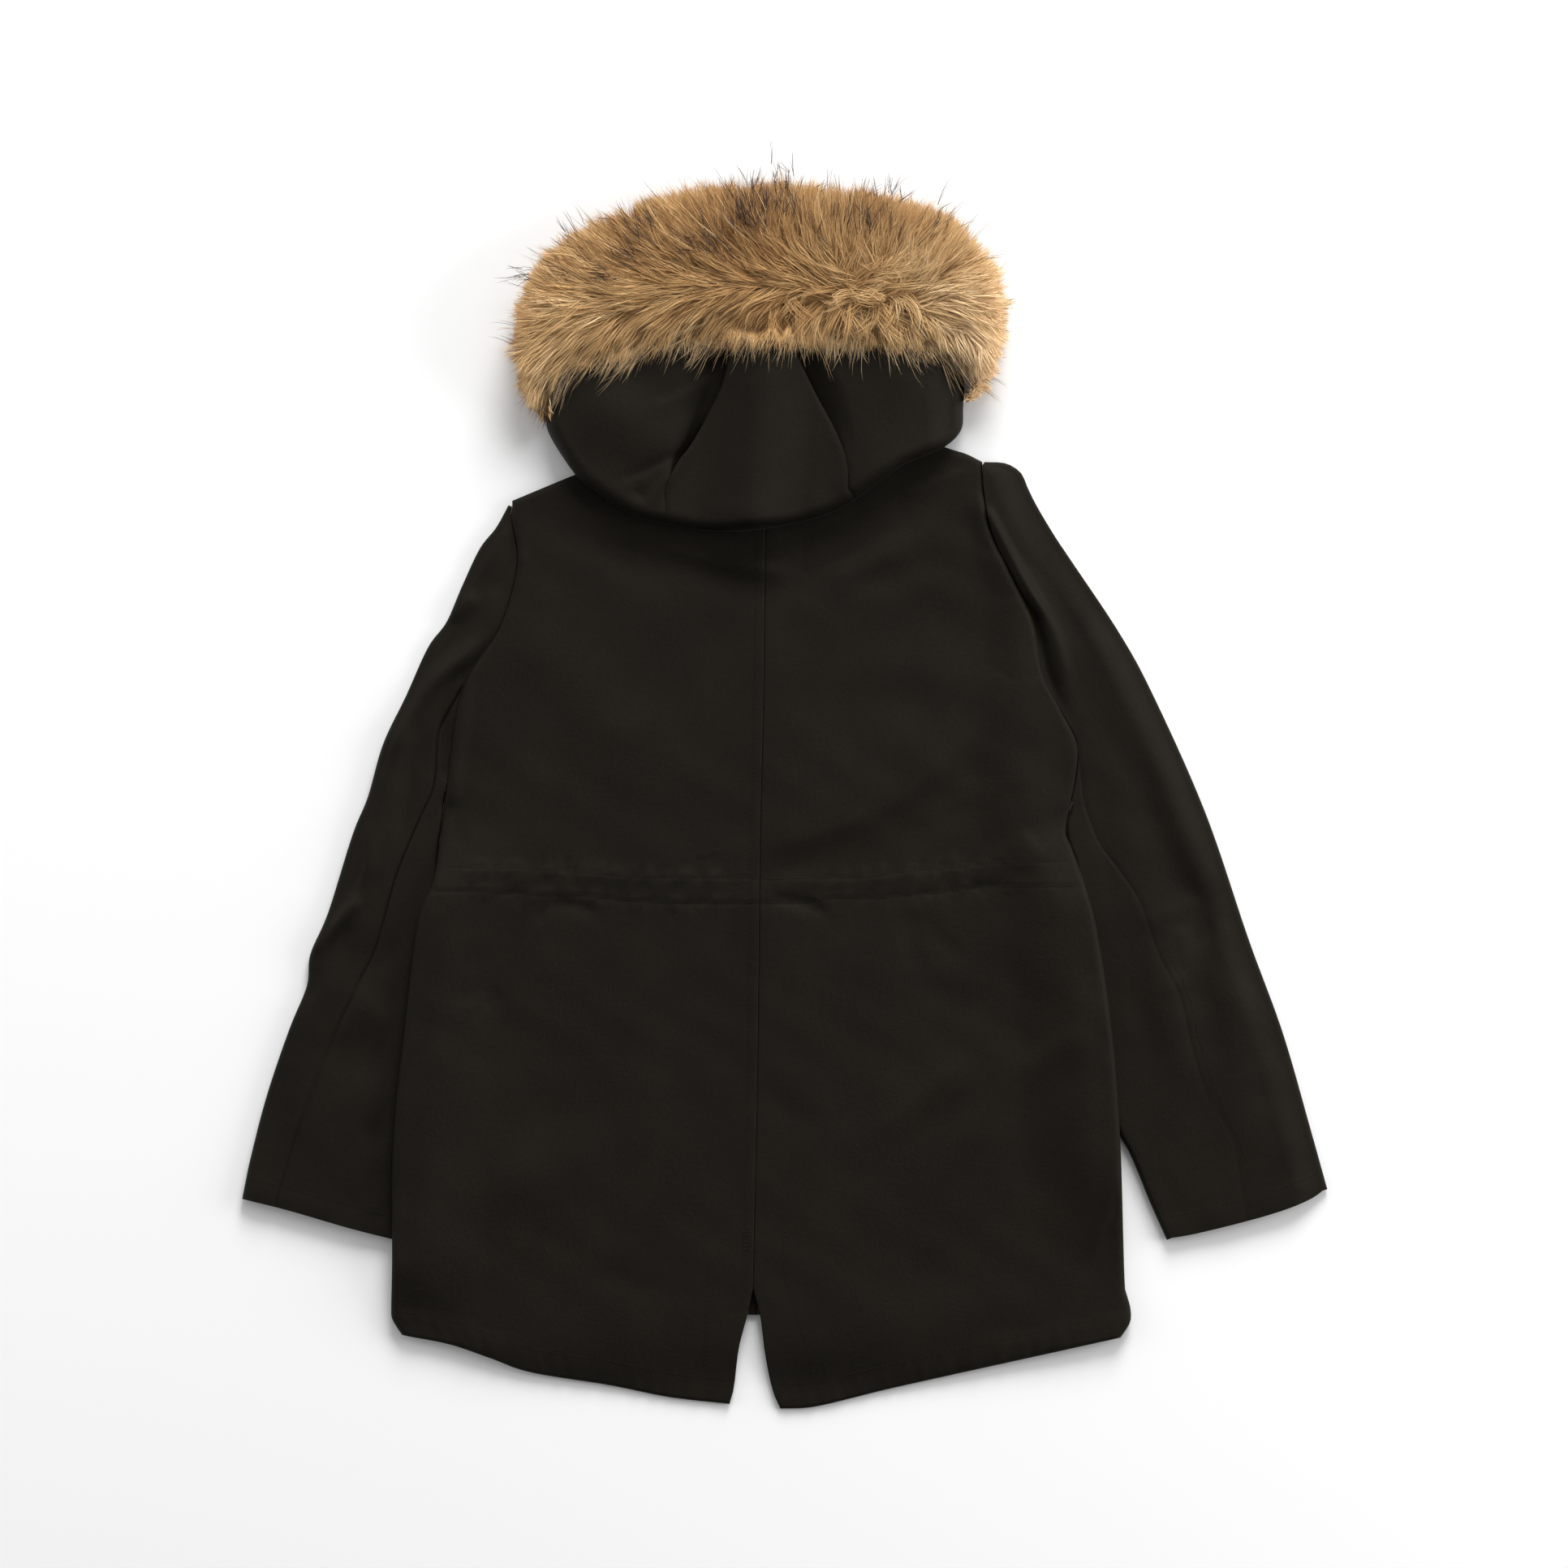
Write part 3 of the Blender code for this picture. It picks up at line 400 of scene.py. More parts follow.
def noise(tree, place, scale, detail=4.0, roughness=0.55):
    node = tree.nodes.new("ShaderNodeTexNoise")
    node.inputs["Scale"].default_value = scale
    node.inputs["Detail"].default_value = detail
    node.inputs["Roughness"].default_value = roughness
    tree.links.new(place, node.inputs["Vector"])
    return node.outputs["Fac"]


def mathNode(tree, operation, first, second):
    node = tree.nodes.new("ShaderNodeMath")
    node.operation = operation
    for socket, value in zip(node.inputs, (first, second)):
        if isinstance(value, (int, float)):
            socket.default_value = value
        else:
            tree.links.new(value, socket)
    return node.outputs["Value"]


def weighted(tree, first, share, second, otherShare):
    return mathNode(tree, "ADD", mathNode(tree, "MULTIPLY", first, share),
                    mathNode(tree, "MULTIPLY", second, otherShare))


def cottonMaterial(name, look, tint=1.0):
    made, tree, shader = newMaterial(name, {
        "Sheen Weight": look["sheen"], "Sheen Roughness": 0.3, "Sheen Tint": (1, 0.9, 0.74, 1),
        "Specular IOR Level": 0.12, "Specular Tint": (1, 0.9, 0.74, 1),
    })
    place = tree.nodes.new("ShaderNodeTexCoord").outputs["Object"]
    broad = noise(tree, place, 11.0, 5.0, 0.6)
    fleck = noise(tree, place, 420.0, 2.0, 0.6)
    stops = [
        (spot, tuple(c * tint for c in look[tone][:3]) + (1,))
        for spot, tone in ((0.34, "dark"), (0.5, "middle"), (0.66, "light"))
    ]
    mixed = weighted(tree, broad, 0.65, fleck, 0.35)
    tree.links.new(ramp(tree, mixed, stops), shader.inputs["Base Color"])
    low, high = look["roughness"]
    rough = mathNode(tree, "ADD", mathNode(tree, "MULTIPLY", fleck, high - low), low)
    tree.links.new(rough, shader.inputs["Roughness"])
    weave = []
    for direction in ("X", "Y"):
        wave = tree.nodes.new("ShaderNodeTexWave")
        wave.bands_direction = direction
        wave.inputs["Scale"].default_value = 2 * math.pi / (20 * look["weavePitch"])
        wave.inputs["Distortion"].default_value = 1.5
        wave.inputs["Detail"].default_value = 1.0
        tree.links.new(place, wave.inputs["Vector"])
        weave.append(wave.outputs["Fac"])
    cross = mathNode(tree, "MULTIPLY", *weave)
    fuzz = noise(tree, place, 260.0, 3.0, 0.65)
    bump = tree.nodes.new("ShaderNodeBump")
    bump.inputs["Strength"].default_value = 1.0
    bump.inputs["Distance"].default_value = 1.0
    relief = weighted(tree, cross, look["weaveDepth"], fuzz, look["fuzzDepth"])
    tree.links.new(relief, bump.inputs["Height"])
    tree.links.new(bump.outputs["Normal"], shader.inputs["Normal"])
    return made


cotton = cottonMaterial("darkCotton", clothLook)
thread = cottonMaterial("darkThread", clothLook, 1.7)
# the lining is painted at a third of the cloth's colour: painted shade, so that the inside seen
# through the vent reads black like shadow
liningClothPaintedShade = cottonMaterial("liningPaintedShade", {**clothLook, "sheen": 0.0}, 0.3)
zipTape = cottonMaterial("zipTape", clothLook, 1.2)
zipPlastic = cottonMaterial("zipPlastic", {
    **clothLook, "weaveDepth": 0.0, "fuzzDepth": 0.00004, "roughness": (0.3, 0.4), "sheen": 0.0,
}, 2.0)

print("body")
rng = np.random.default_rng(7)
pucker = {
    "ends": 12.0,  # plain stretch at both ends of the channel
    "drawn": ((-276, -60), (108, 205)),  # where the waist is drawn in, along x
    "slack": 0.45,  # share of the height that is left elsewhere
    "height": (0.4, 1.0),
    "width": (1.8, 2.8),
    "outward": (4, 13),
    "inward": (5, 10),
    "slant": (1, 7),
    "pitch": (3.6, 7.5),
}


def waistPuckers():
    # short gathers across both stitched rows of the waist channel
    made = []
    for key, way in (("upper", 1.0), ("lower", -1.0)):
        row = spline(waistRows[key])
        total = lengths(row)[-1]
        place = pucker["ends"]
        while place < total - pucker["ends"]:
            x, y = atShare(row, np.array([place / total]))[0]
            drawn = any(low < x < high for low, high in pucker["drawn"])
            outward, slant = rng.uniform(*pucker["outward"]), rng.uniform(*pucker["slant"])
            height = (1.0 if drawn else pucker["slack"]) * rng.uniform(*pucker["height"])
            height *= rng.choice((1.0, -1.0))
            end = (x + way * slant, y + way * outward)
            start = (x - way * slant, y - way * rng.uniform(*pucker["inward"]))
            made.append((height, rng.uniform(*pucker["width"]), 0.0, [start, (x, y), end]))
            place += rng.uniform(*pucker["pitch"])
    return made


puckers = waistPuckers()
centreCurve = spline(centreBack)
waistCurves = [spline(waistRows["upper"]), spline(waistRows["lower"])]


def bodyHalf(side):
    edge = spline(sideLine[side])
    start = (xAt(edge, underarmY[side]), underarmY[side])
    armhole = np.vstack([[start], edge[edge[:, 1] >= underarmY[side]]])
    return {
        "side": side,
        "sign": -1.0 if side == "left" else 1.0,
        "edge": edge,
        "centre": np.vstack([spline(ventEdge[side])[:-1], centreCurve]),
        "hem": spline(hemLine[side]),
        "top": spline(shoulderLine[side]),
        "armhole": armhole,
        "underarm": underarmY[side],
    }


def bodyLift(half, x, y):
    inward = (xAt(half["edge"], y) - x) * half["sign"]
    strip = fall((inward - coat["liftFlat"]) / (coat["liftEnd"] - coat["liftFlat"]))
    lower = fall((cuffEndY[half["side"]] - y) / liftFade[half["side"]])
    upper = ease((coat["liftTopY"] - y) / coat["liftRun"])
    return coat["sleeveLift"] * strip * lower * upper


def fishtail(y):
    return ease((coat["fishtailY"] - y) / coat["fishtailRun"])


def turnedHem(gap, band, rise, start):
    # thicker up to its stitched row, which pulls in
    stitched = coat["stitchGroove"] * bell(gap - band - 0.5, 1.6)
    return rise * fall((gap - band) / 3.0) * ease((gap + start) / 2.0) - stitched


def backLevel(half, x, y):
    # height of the back above what it lies on, away from its rounded edges
    folds = foldHeight(backFolds, x, y) + creaseHeight(backCreases + puckers, x, y)
    folds = np.maximum(folds + undulation(x, y) * coat["unevenness"], coat["lowestTrough"])
    beyond = fishtail(y)
    level = (coat["bodyDepth"] + folds) * (1 - beyond) + coat["fishtailHeight"] * beyond
    hem = y - yAt(half["hem"], x)
    level = level + turnedHem(hem, coat["hemBand"], coat["hemRise"], 0.0)
    ripple = np.sin(x / 3.1 + 1.5 * np.sin(x / 17.0)) + 0.6 * np.sin(x / 1.9 + y / 4.0)
    level = level + coat["hemRipple"] * ripple * fall((hem - 6.0) / 22.0)
    level = level - coat["hemEdgeDrop"] * fall(hem / 2.2)
    above, below = (y - yAt(curve, x) for curve in waistCurves)
    level = level + coat["channelRise"] * fall(above / 3.0) * ease((below + 1.5) / 3.0)
    level = level - coat["stitchGroove"] * (bell(above, 1.1) + bell(below, 1.1))
    inward = (x - xAt(half["centre"], y)) * half["sign"]
    vent = coat["vent"]
    lap = vent["lap"] if half["side"] == "left" else 0.0
    level = level + lap * fall((inward - vent["lapWidth"]) / 2.0)
    return level - (vent["groove"] + lap) * fall((inward - 0.1) / 0.9)


def halfRows(half, front, refine):
    # side x, side and centre y of each row, and how many rows lie below the armhole
    first = (coat["frontHemY"],) * 2
    if not front:
        first = (sideLine[half["side"]][0][1], ventEdge[half["side"]][0][1])
    pairs = np.array([first, *bodyRows, (half["underarm"],) * 2], float)
    rows = []
    for (s0, c0), (s1, c1) in zip(pairs, pairs[1:]):
        step = coat["gridStep"] * refine * (0.8 if -112 < s0 < -40 else 1.3)
        for t in np.arange(0, 1, 1 / max(1, round((s1 - s0) / step))):
            rows.append((s0 + (s1 - s0) * t, c0 + (c1 - c0) * t))
    if not front:  # closer rows along the turned hem
        rows[1:1] = [(rows[0][0] + d, rows[0][1] + d) for d in (0.7, 1.6, 2.6)]
    xs = [xAt(half["edge"], s) for s, c in rows]
    below = len(rows)
    armhole = half["armhole"]
    count = round(lengths(armhole)[-1] / (coat["gridStep"] * refine * 1.2))
    points = atShare(armhole, np.linspace(0, 1, max(coat["armholeSteps"], count) + 1))
    top = centreBack[-1][1] - (coat["frontNeckDrop"] if front else 0.0)
    for x, y in points:
        share = (y - half["underarm"]) / (points[-1, 1] - half["underarm"])
        rows.append((y, half["underarm"] + share * (top - half["underarm"])))
        xs.append(x)
    return np.array(xs), np.array(rows), below


def halfPlan(half, front, refine):
    xs, rows, below = halfRows(half, front, refine)
    steps, start = coat["armholeSteps"], coat["shoulderStep"]
    along = steps * (np.arange(len(rows)) - below) / (len(rows) - 1 - below)
    rise = np.maximum(0.0, along - start) / (steps - start)
    inset = np.maximum(0.0, along - (steps - 1))
    fold, strip, seam = coat["sideFold"], coat["sideStrip"], coat["seamGap"]
    step = coat["gridStep"] * refine
    near = np.linspace(fold, strip, max(4, round((strip - fold) / step)) + 1)
    grid, toSide = [], []
    for xSide, (ySide, yMid), up, drop in zip(xs, rows, rise, inset):
        if front:
            xMid = xAt(centreCurve, yMid) + half["sign"] * (coat["zipWidth"] / 2 + seam)
        else:
            xMid = xAt(half["centre"], yMid) + half["sign"] * seam / 2
        length = abs(xSide - xMid)
        far = np.linspace(strip, length, max(6, round(coat["middleStrip"] / step)) + 1)[1:]
        if not front:
            far = np.concatenate([far[:-1], [length - 1.5, length - 0.6, length]])
        share = np.concatenate([near, far]) / length
        x = xSide + (xMid - xSide) * share
        y = ySide + (yMid - ySide) * share
        if up > 0:
            chord = rows[-1, 0] + (rows[-1, 1] - rows[-1, 0]) * share
            top = yAt(half["top"], x)
            if front:
                top = top - coat["frontNeckDrop"] * ease((share - 0.45) / 0.55)
            y = y + up**2 * (top - chord)
        y = y - fold * drop
        grid.append(np.stack([x, y], axis=-1))
        toSide.append(np.array([xSide, ySide - fold * drop]) - grid[-1][0])
    grid, toSide = np.array(grid), np.array(toSide)
    if not front:  # the hem's own curve, eased into the first rows
        bottom = yAt(half["hem"], grid[0, :, 0])
        flat = rows[0, 0] + (rows[0, 1] - rows[0, 0]) * np.abs(
            (grid[0, :, 0] - xs[0]) / (grid[0, -1, 0] - xs[0])
        )
        part = (rows[:, 0] - rows[0, 0]) / (bodyRows[0][0] - rows[0, 0])
        grid[..., 1] += (bottom - flat) * np.clip(1 - part, 0, None)[:, None]
    return grid, toSide, below


def foldedSkins(half, front, refine):
    # the panel rolls over its side and its shoulder to meet the other panel
    fold, thick = coat["sideFold"], coat["clothThickness"]
    plan, toSide, below = halfPlan(half, front, refine)
    angles = list(np.linspace(90, 0, 4 if front else 8))
    turn = len(angles) - 1
    rows, cols = plan.shape[:2]
    iOf = [0] * turn + list(range(cols))
    jOf = np.array(list(range(rows)) + [rows - 1] * turn)
    across = np.radians(angles[:0:-1] + [90.0] * cols)
    along = np.radians([90.0] * rows + angles[1:])
    base = plan[np.ix_(jOf, iOf)]
    sideways = toSide[jOf][:, None] / fold * np.cos(across)[None, :, None]
    upward = np.array([0.0, 1.0]) * np.cos(along)[:, None, None]
    turnedSide, turnedTop = np.sin(across)[None, :], np.sin(along)[:, None]
    x, y = base[..., 0], base[..., 1]
    lift = bodyLift(half, x, y)
    skin = base + fold * (sideways + upward)
    lining = base + (fold - thick) * (sideways + upward)
    if front:  # flat along the armhole, where the sleeve is set in
        flat = jOf[:, None] >= below
        sewn = base + fold * sideways + (fold - thick) * upward
        lining = np.where(flat[..., None], sewn, lining)
        turned = np.where(flat, 1.0, turnedSide) * turnedTop
        rise = coat["bodyDepth"] / 2 - coat["seamGap"] / 2
        outer = np.dstack([skin, lift + rise * (1 - turned)])
        inner = np.dstack([lining, lift + thick + (rise - thick) * (1 - turned)])
        return outer, inner
    turned = (turnedSide * turnedTop) ** coat["backRoll"]
    top = backLevel(half, x, y)
    rim = (coat["bodyDepth"] / 2 + coat["seamGap"] / 2) * (1 - fishtail(y))
    outer = np.dstack([skin, lift + rim + (top - rim) * turned])
    inner = np.dstack([lining, lift + rim + (top - thick - rim) * turned])
    return outer, inner


halves = {side: bodyHalf(side) for side in ("left", "right")}
pieces = {}
for side, half in halves.items():
    for front, kind in ((False, "back"), (True, "front")):
        skins = foldedSkins(half, front, 3.5 if front else 1.0)
        name = kind + side.capitalize()
        pieces[name] = clothShell(name, *skins, cotton)
        register(pieces[name], kind + "_" + side)

print("sleeves")
sleeve = {
    "depth": 8.8,
    "fullness": (1.8, 22.0, 40.0),  # height, how far from the inner edge it starts, the run
    "foldsFrom": (18.0, 14.0),
    "rowsPerStep": 5,
    "seamRows": 108,
    "topCols": 26,
    "underCols": 18,
    "hiddenCols": 8,
    "edgeAngles": (75, 55, 35, 12, -12, -35, -60),
    "frontSeamAtCuff": 0.65,
    "frontSeamBow": 20.0,
    "cuffBand": 19.0,
    "cuffRise": 0.5,
    "lowestTrough": -4.4,
    "unevenness": 0.7,
    "armholeDrop": {"left": 2.4, "right": 0.4},
    "outerDrop": {"left": (1.6, 12.0), "right": (5.6, 28.0)},
    "seamGroove": {"left": 1.4, "right": 0.5},
    "underTip": 0.1,  # share of its first row at which the under sleeve's tip is cut
}
sleeveOuter = {
    "left": [
        (-235.3, 244.3), (-246, 225), (-260, 207), (-275, 175), (-288, 145),
        (-304, 123), (-323, 81), (-342, 41), (-355, -4), (-368, -36),
        (-389, -103), (-404, -138), (-407, -165), (-422, -202),
        (-441, -258), (-455, -312), (-462, -346),
    ],
    "right": [
        (169.7, 281), (188, 280), (201, 272), (207, 259), (215, 243),
        (230, 218), (244, 197), (284, 137), (313, 84), (358, -17),
        (395, -125), (424, -204), (447, -283), (462, -336),
    ],
}
sleeveInner = {
    "left": [
        (-288.6, 1), (-289.6, -6), (-290.4, -12), (-292, -28), (-294, -42), (-295, -60),
        (-295, -86), (-300, -120), (-308, -175), (-314, -224), (-318, -293),
        (-319, -384),
    ],
    "right": [
        (245.2, -10), (241.6, -18), (238.4, -27), (240, -42), (246, -60), (248, -86),
        (252, -120), (257, -168), (266, -224), (275, -265), (284, -290),
        (293, -306), (302, -327), (311, -349), (325, -380),
    ],
}
sleeveSeam = {
    "left": [
        (-291, 59), (-296, 42), (-299, 5), (-311, -23), (-331, -71),
        (-348, -132), (-364, -164), (-387, -215), (-415, -288), (-433, -348),
    ],
    "right": [
        (252, 14), (255, -10), (267, -42), (285, -67), (302, -93), (318, -137),
        (336, -172), (347, -217), (362, -261), (382, -301), (393, -357),
    ],
}
cuffLine = {
    "left": [(-462, -346), (-422, -356), (-367, -372), (-319, -384)],
    "right": [(462, -336), (446, -347), (411, -360), (353, -375), (325, -380)],
}
seamStep = {"left": 4, "right": 2}
outerYAtSeam = {"left": 105, "right": 52}
sleeveFolds = {
    "left": [
        (-398, -132, -366, -96, 2.6, 9),
        (-404, -168, -372, -120, -1.0, 12), (-372, -200, -330, -150, 1.2, 20),
        (-348, -355, -338, -338, 2.5, 8), (-330, 40, -352, -60, 2.0, 22),
    ],
    "right": [
        (174, 236, 197, 192, 3.5, 7), (197, 192, 216, 158, 3.5, 8),
        (270, 120, 330, 0, 2.4, 30), (340, -150, 355, -120, -1.6, 16),
        (313, -110, 345, -96, 1.2, 14), (330, -165, 372, -120, 1.4, 16),
    ],
}
sleeveCreases = {
    "left": [
        (-2.6, 5, 0.2, [(-262, 122), (-280, 98), (-288, 70), (-290, 40), (-292, 20)]),
        (5.0, 8, 0.2, [(-248, 142), (-272, 116), (-298, 94), (-316, 68), (-328, 44), (-337, 14)]),
        (3.0, 7, 0.0, [(-260, 170), (-274, 157), (-289, 146)]),
        (-1.8, 10, 0.0, [(-262, 148), (-290, 116), (-316, 92), (-334, 50)]),
        (1.6, 6, 0.2, [(-240, 222), (-252, 196), (-272, 166), (-288, 146)]),
        (-1.6, 6, 0.2, [(-236, 224), (-236, 196), (-250, 160)]),
        (-1.4, 10, 0.0, [(-300, 62), (-316, 26), (-322, -18), (-334, -60)]),
        (2.4, 6, -0.4, [(-361, -20), (-354, -46), (-358, -72), (-374, -100), (-400, -128)]),
        (-2.0, 20, 0.0, [(-392, -132), (-366, -140), (-340, -142), (-316, -138)]),
        (1.5, 16, 0.0, [(-372, -176), (-352, -188), (-334, -202)]),
        (-1.3, 18, 0.0, [(-398, -222), (-372, -224), (-346, -228), (-322, -240)]),
        (1.0, 18, 0.0, [(-380, -252), (-352, -262), (-334, -270)]),
        (-1.8, 12, 0.0, [(-364, -300), (-344, -290), (-324, -272)]),
        (1.0, 12, 0.0, [(-420, -246), (-412, -270), (-424, -300)]),
        (-1.4, 4, 0.0, [(-350, -366), (-343, -352), (-338, -340)]),
        (1.4, 4, 0.0, [(-346, -372), (-338, -356), (-332, -342)]),
    ],
    "right": [
        (-4.0, 6, 0.0, [(200, 172), (212, 148), (221, 112), (230, 84), (240, 66)]),
        (3.6, 7, 0.2, [(190, 208), (204, 178), (220, 152), (231, 130), (238, 102), (240, 84)]),
        (-1.6, 10, 0.0, [(188, 248), (206, 222), (230, 176), (252, 132), (270, 90)]),
        (-2.6, 21, 0.3, [
            (284, 96), (296, 52), (309, -14), (331, -71), (360, -122), (350, -160),
        ]),
        (1.0, 18, 0.0, [(264, 60), (278, 20), (292, -20), (312, -60)]),
        (2.2, 16, 0.0, [(336, 0), (352, -50), (372, -96)]),
        (-2.2, 14, 0.2, [(338, -56), (352, -92), (358, -120), (353, -150), (346, -178)]),
        (1.2, 20, 0.0, [(368, -200), (386, -250), (402, -300), (408, -332)]),
        (0.5, 5, 0.3, [(314, -116), (330, -118), (346, -120)]),
        (0.5, 5, 0.3, [(318, -130), (334, -122), (346, -120)]),
        (0.6, 7, 0.2, [(346, -120), (342, -134), (344, -150)]),
        (1.5, 16, 0.0, [(372, -150), (384, -190), (394, -236)]),
        (-1.6, 16, 0.0, [(352, -150), (362, -196), (372, -236)]),
        (-1.3, 12, 0.0, [(296, -150), (306, -196), (322, -240)]),
        (1.2, 14, 0.0, [(312, -110), (326, -190), (346, -250)]),
        (-1.4, 16, 0.0, [(398, -196), (406, -236), (414, -280)]),
        (0.7, 14, 0.0, [(424, -250), (432, -290), (440, -320)]),
    ],
}


def sleeveLevel(side, x, y):
    curves, above = sleeveCurves[side], y - underarmY[side]
    away = np.abs(x - xAt(curves["inner"], y))
    height, start, run = sleeve["fullness"]
    full = height * ease((away - start) / run)
    start, run = sleeve["foldsFrom"]
    folds = foldHeight(sleeveFolds[side], x, y) + creaseHeight(sleeveCreases[side], x, y)
    folds = np.maximum(folds + undulation(x, y) * sleeve["unevenness"], sleeve["lowestTrough"])
    folds = folds * np.maximum(ease((away - start) / run), ease(above / 30.0))
    beside = bell(np.abs(x - xAt(halves[side]["armhole"], y)) * 0.85, 6.0) * ease(above / 12.0)
    fromOuter = np.abs(x - xAt(curves["outer"], y))
    drop, reach = sleeve["outerDrop"][side]
    level = sleeve["depth"] + full + folds - sleeve["armholeDrop"][side] * beside
    level = level - drop * fall((fromOuter - 2.0) / reach)
    cuff = y - yAt(curves["cuff"], x)
    level = level + turnedHem(cuff, sleeve["cuffBand"], sleeve["cuffRise"], 1.0)
    groove = fall((np.abs(x - xAt(curves["seam"], y)) - 0.2) / 2.0) * (y < outerYAtSeam[side])
    return level - sleeve["seamGroove"][side] * groove


sleeveCurves = {
    side: {
        "inner": spline(sleeveInner[side]),
        "outer": spline(sleeveOuter[side]),
        "cuff": spline(cuffLine[side]),
        "seam": spline(sleeveSeam[side]),
    }
    for side in ("left", "right")
}


def ribbon(start, stop, cols):
    share = np.linspace(0, 1, cols + 1)[None, :, None]
    return start[:, None] + (stop - start)[:, None] * share


def trimCuff(side, sheet, back=0.0):
    # the cuff's curve, eased into the last rows
    gap = yAt(sleeveCurves[side]["cuff"], sheet[-1, :, 0]) + back - sheet[-1, :, 1]
    sheet[..., 1] += gap * np.linspace(0, 1, len(sheet))[:, None] ** 5


def sleeveSkins(side, upper, lower, outward):
    # an upper sheet, a rounded edge and a lower sheet
    trimCuff(side, upper)
    trimCuff(side, lower, 0.8)
    radius = sleeve["depth"] / 2
    top = sleeveLevel(side, upper[..., 0], upper[..., 1])
    middle = top[:, -1] / 2
    skins = []
    for depth in (0.0, coat["clothThickness"]):
        skin = [np.column_stack([p, z - depth]) for p, z in zip(upper.swapaxes(0, 1), top.T)]
        for angle in np.radians(sleeve["edgeAngles"]):
            edge = upper[:, -1] + outward * (radius - depth) * math.cos(angle)
            skin.append(np.column_stack([edge, middle + (middle - depth) * math.sin(angle)]))
        for plan in lower.swapaxes(0, 1)[::-1]:
            skin.append(np.column_stack([plan, np.full(len(plan), depth)]))
        skins.append(np.stack(skin, axis=1))
    return skins


def makeSleeve(side):
    half, curves = halves[side], sleeveCurves[side]
    sign, radius = half["sign"], sleeve["depth"] / 2
    step = seamStep[side] * sleeve["rowsPerStep"]
    steps = coat["armholeSteps"] * sleeve["rowsPerStep"]
    shares = np.linspace(0, 1, sleeve["seamRows"] + 1)
    armhole = atShare(half["armhole"], np.linspace(0, 1, steps + 1))
    armhole = armhole + normals(armhole, sign, 3) * coat["sewnGap"]

    # outer edge: a row for each armhole step, then one for each seam row
    total = lengths(curves["outer"])
    atSeam = np.interp(-outerYAtSeam[side], -curves["outer"][:, 1], total / total[-1])
    rows = np.concatenate([
        np.linspace(0, atSeam, steps - step + 1), atSeam + (1 - atSeam) * shares[1:],
    ])
    outerEdge = atShare(curves["outer"], rows)
    outward = normals(outerEdge, -sign, 4)
    near = np.hypot(*(outerEdge[:, None] - armhole[None]).T).min(axis=0)
    outward = outward * np.clip(near * 0.75 / radius, 0.3, 1.0)[:, None]
    outerInset = outerEdge - outward * radius

    # the two seams, from the armhole to the cuff
    start = armhole[step]
    backSeam = atShare(spline([tuple(start)] + sleeveSeam[side]), shares)
    frontEnd = atShare(curves["cuff"], np.array([sleeve["frontSeamAtCuff"]]))[0]
    frontSeam = start + (frontEnd - start) * shares[:, None]
    frontSeam[:, 0] += sign * sleeve["frontSeamBow"] * np.sin(np.pi * shares)
    curves["seam"] = backSeam.copy()

    # inner edge: the last of the armhole, then the free fold
    fold = atShare(curves["inner"], np.linspace(0, 1, sleeve["seamRows"] - step))
    inward = normals(fold, sign, 6)
    opening = ease((np.arange(len(fold)) + 1) / 4.0)[:, None]
    innerInset = np.vstack([armhole[step::-1], fold - inward * radius * opening])
    inward = np.vstack([np.repeat(inward[:1], step + 1, axis=0), inward * opening])

    topEnd = armhole[:step:-1].copy()
    topEnd[0] = (xAt(armhole, outerInset[0, 1] - 1.0), outerInset[0, 1] - 1.0)
    ends, starts = [], []
    for line in (backSeam, frontSeam):
        line[0] = start
        away = normals(line, -sign, 2) * coat["sewnGap"] / 2
        ends.append(np.vstack([topEnd, line + away]))
        starts.append(line - away)
    for line in (*starts, innerInset):
        line[0] = start + (line[1] - start) * sleeve["underTip"]

    hidden, visible = sleeve["hiddenCols"], sleeve["underCols"]
    upper = ribbon(ends[0], outerInset, sleeve["topCols"])
    top = sleeveSkins(side, upper, ribbon(ends[1], outerInset, hidden), outward)
    upper = ribbon(starts[0], innerInset, visible)
    under = sleeveSkins(side, upper, ribbon(starts[1], innerInset, hidden), inward)
    cells = np.ones((sleeve["seamRows"], under[0].shape[1] - 1), bool)
    cells[:step + 1, visible:visible + 1 + len(sleeve["edgeAngles"])] = False
    for kind, skins, shown in (("Top", top, None), ("Under", under, cells)):
        panel = clothShell(side + kind + "Sleeve", *skins, cotton, shown)
        register(panel, side + "_" + kind.lower() + "_sleeve")
        pieces[side + kind] = panel


for side in ("left", "right"):
    makeSleeve(side)

print("hood")
hood = {
    "fold": 11.0,  # plan depth of the rounded edge
    "roll": 0.7,  # how full that edge is, 1 for a plain round
    "floor": 13.5,  # its lower side, where it lies on the back
    "floorStart": 6.0,  # how far past the shoulder that side starts to come down
    "floorRun": 34.0,
    "lowest": 0.4,
    "height": 17.0,
    "unevenness": 0.6,
    "rightSink": (9.0, 120, 32.0),  # depth, x at which it starts, the run
    "pocketOpens": (258, 84),  # y from which the pockets beside the seams widen, the run
    "seamDip": (1.1, 2.2),  # depth and width of the turn into a panel seam
    "underFur": 7.0,  # how far the cloth goes on below the hair
    "liningDrop": 14.0,
    "liningInset": 1.5,
    "liningStep": 12.0,
    "liningCols": 14,
    "cols": 42,
    "step": 2.8,
}
hoodOutline = [
    (-194, 341), (-198, 326), (-202, 308), (-179, 271), (-163, 257),
    (-133, 237), (-103, 228), (-54, 221), (-2, 226), (46, 240),
    (84, 266), (103, 279), (135, 293), (150, 308), (152, 328), (153, 343),
    (152, 352), (149, 359),
]
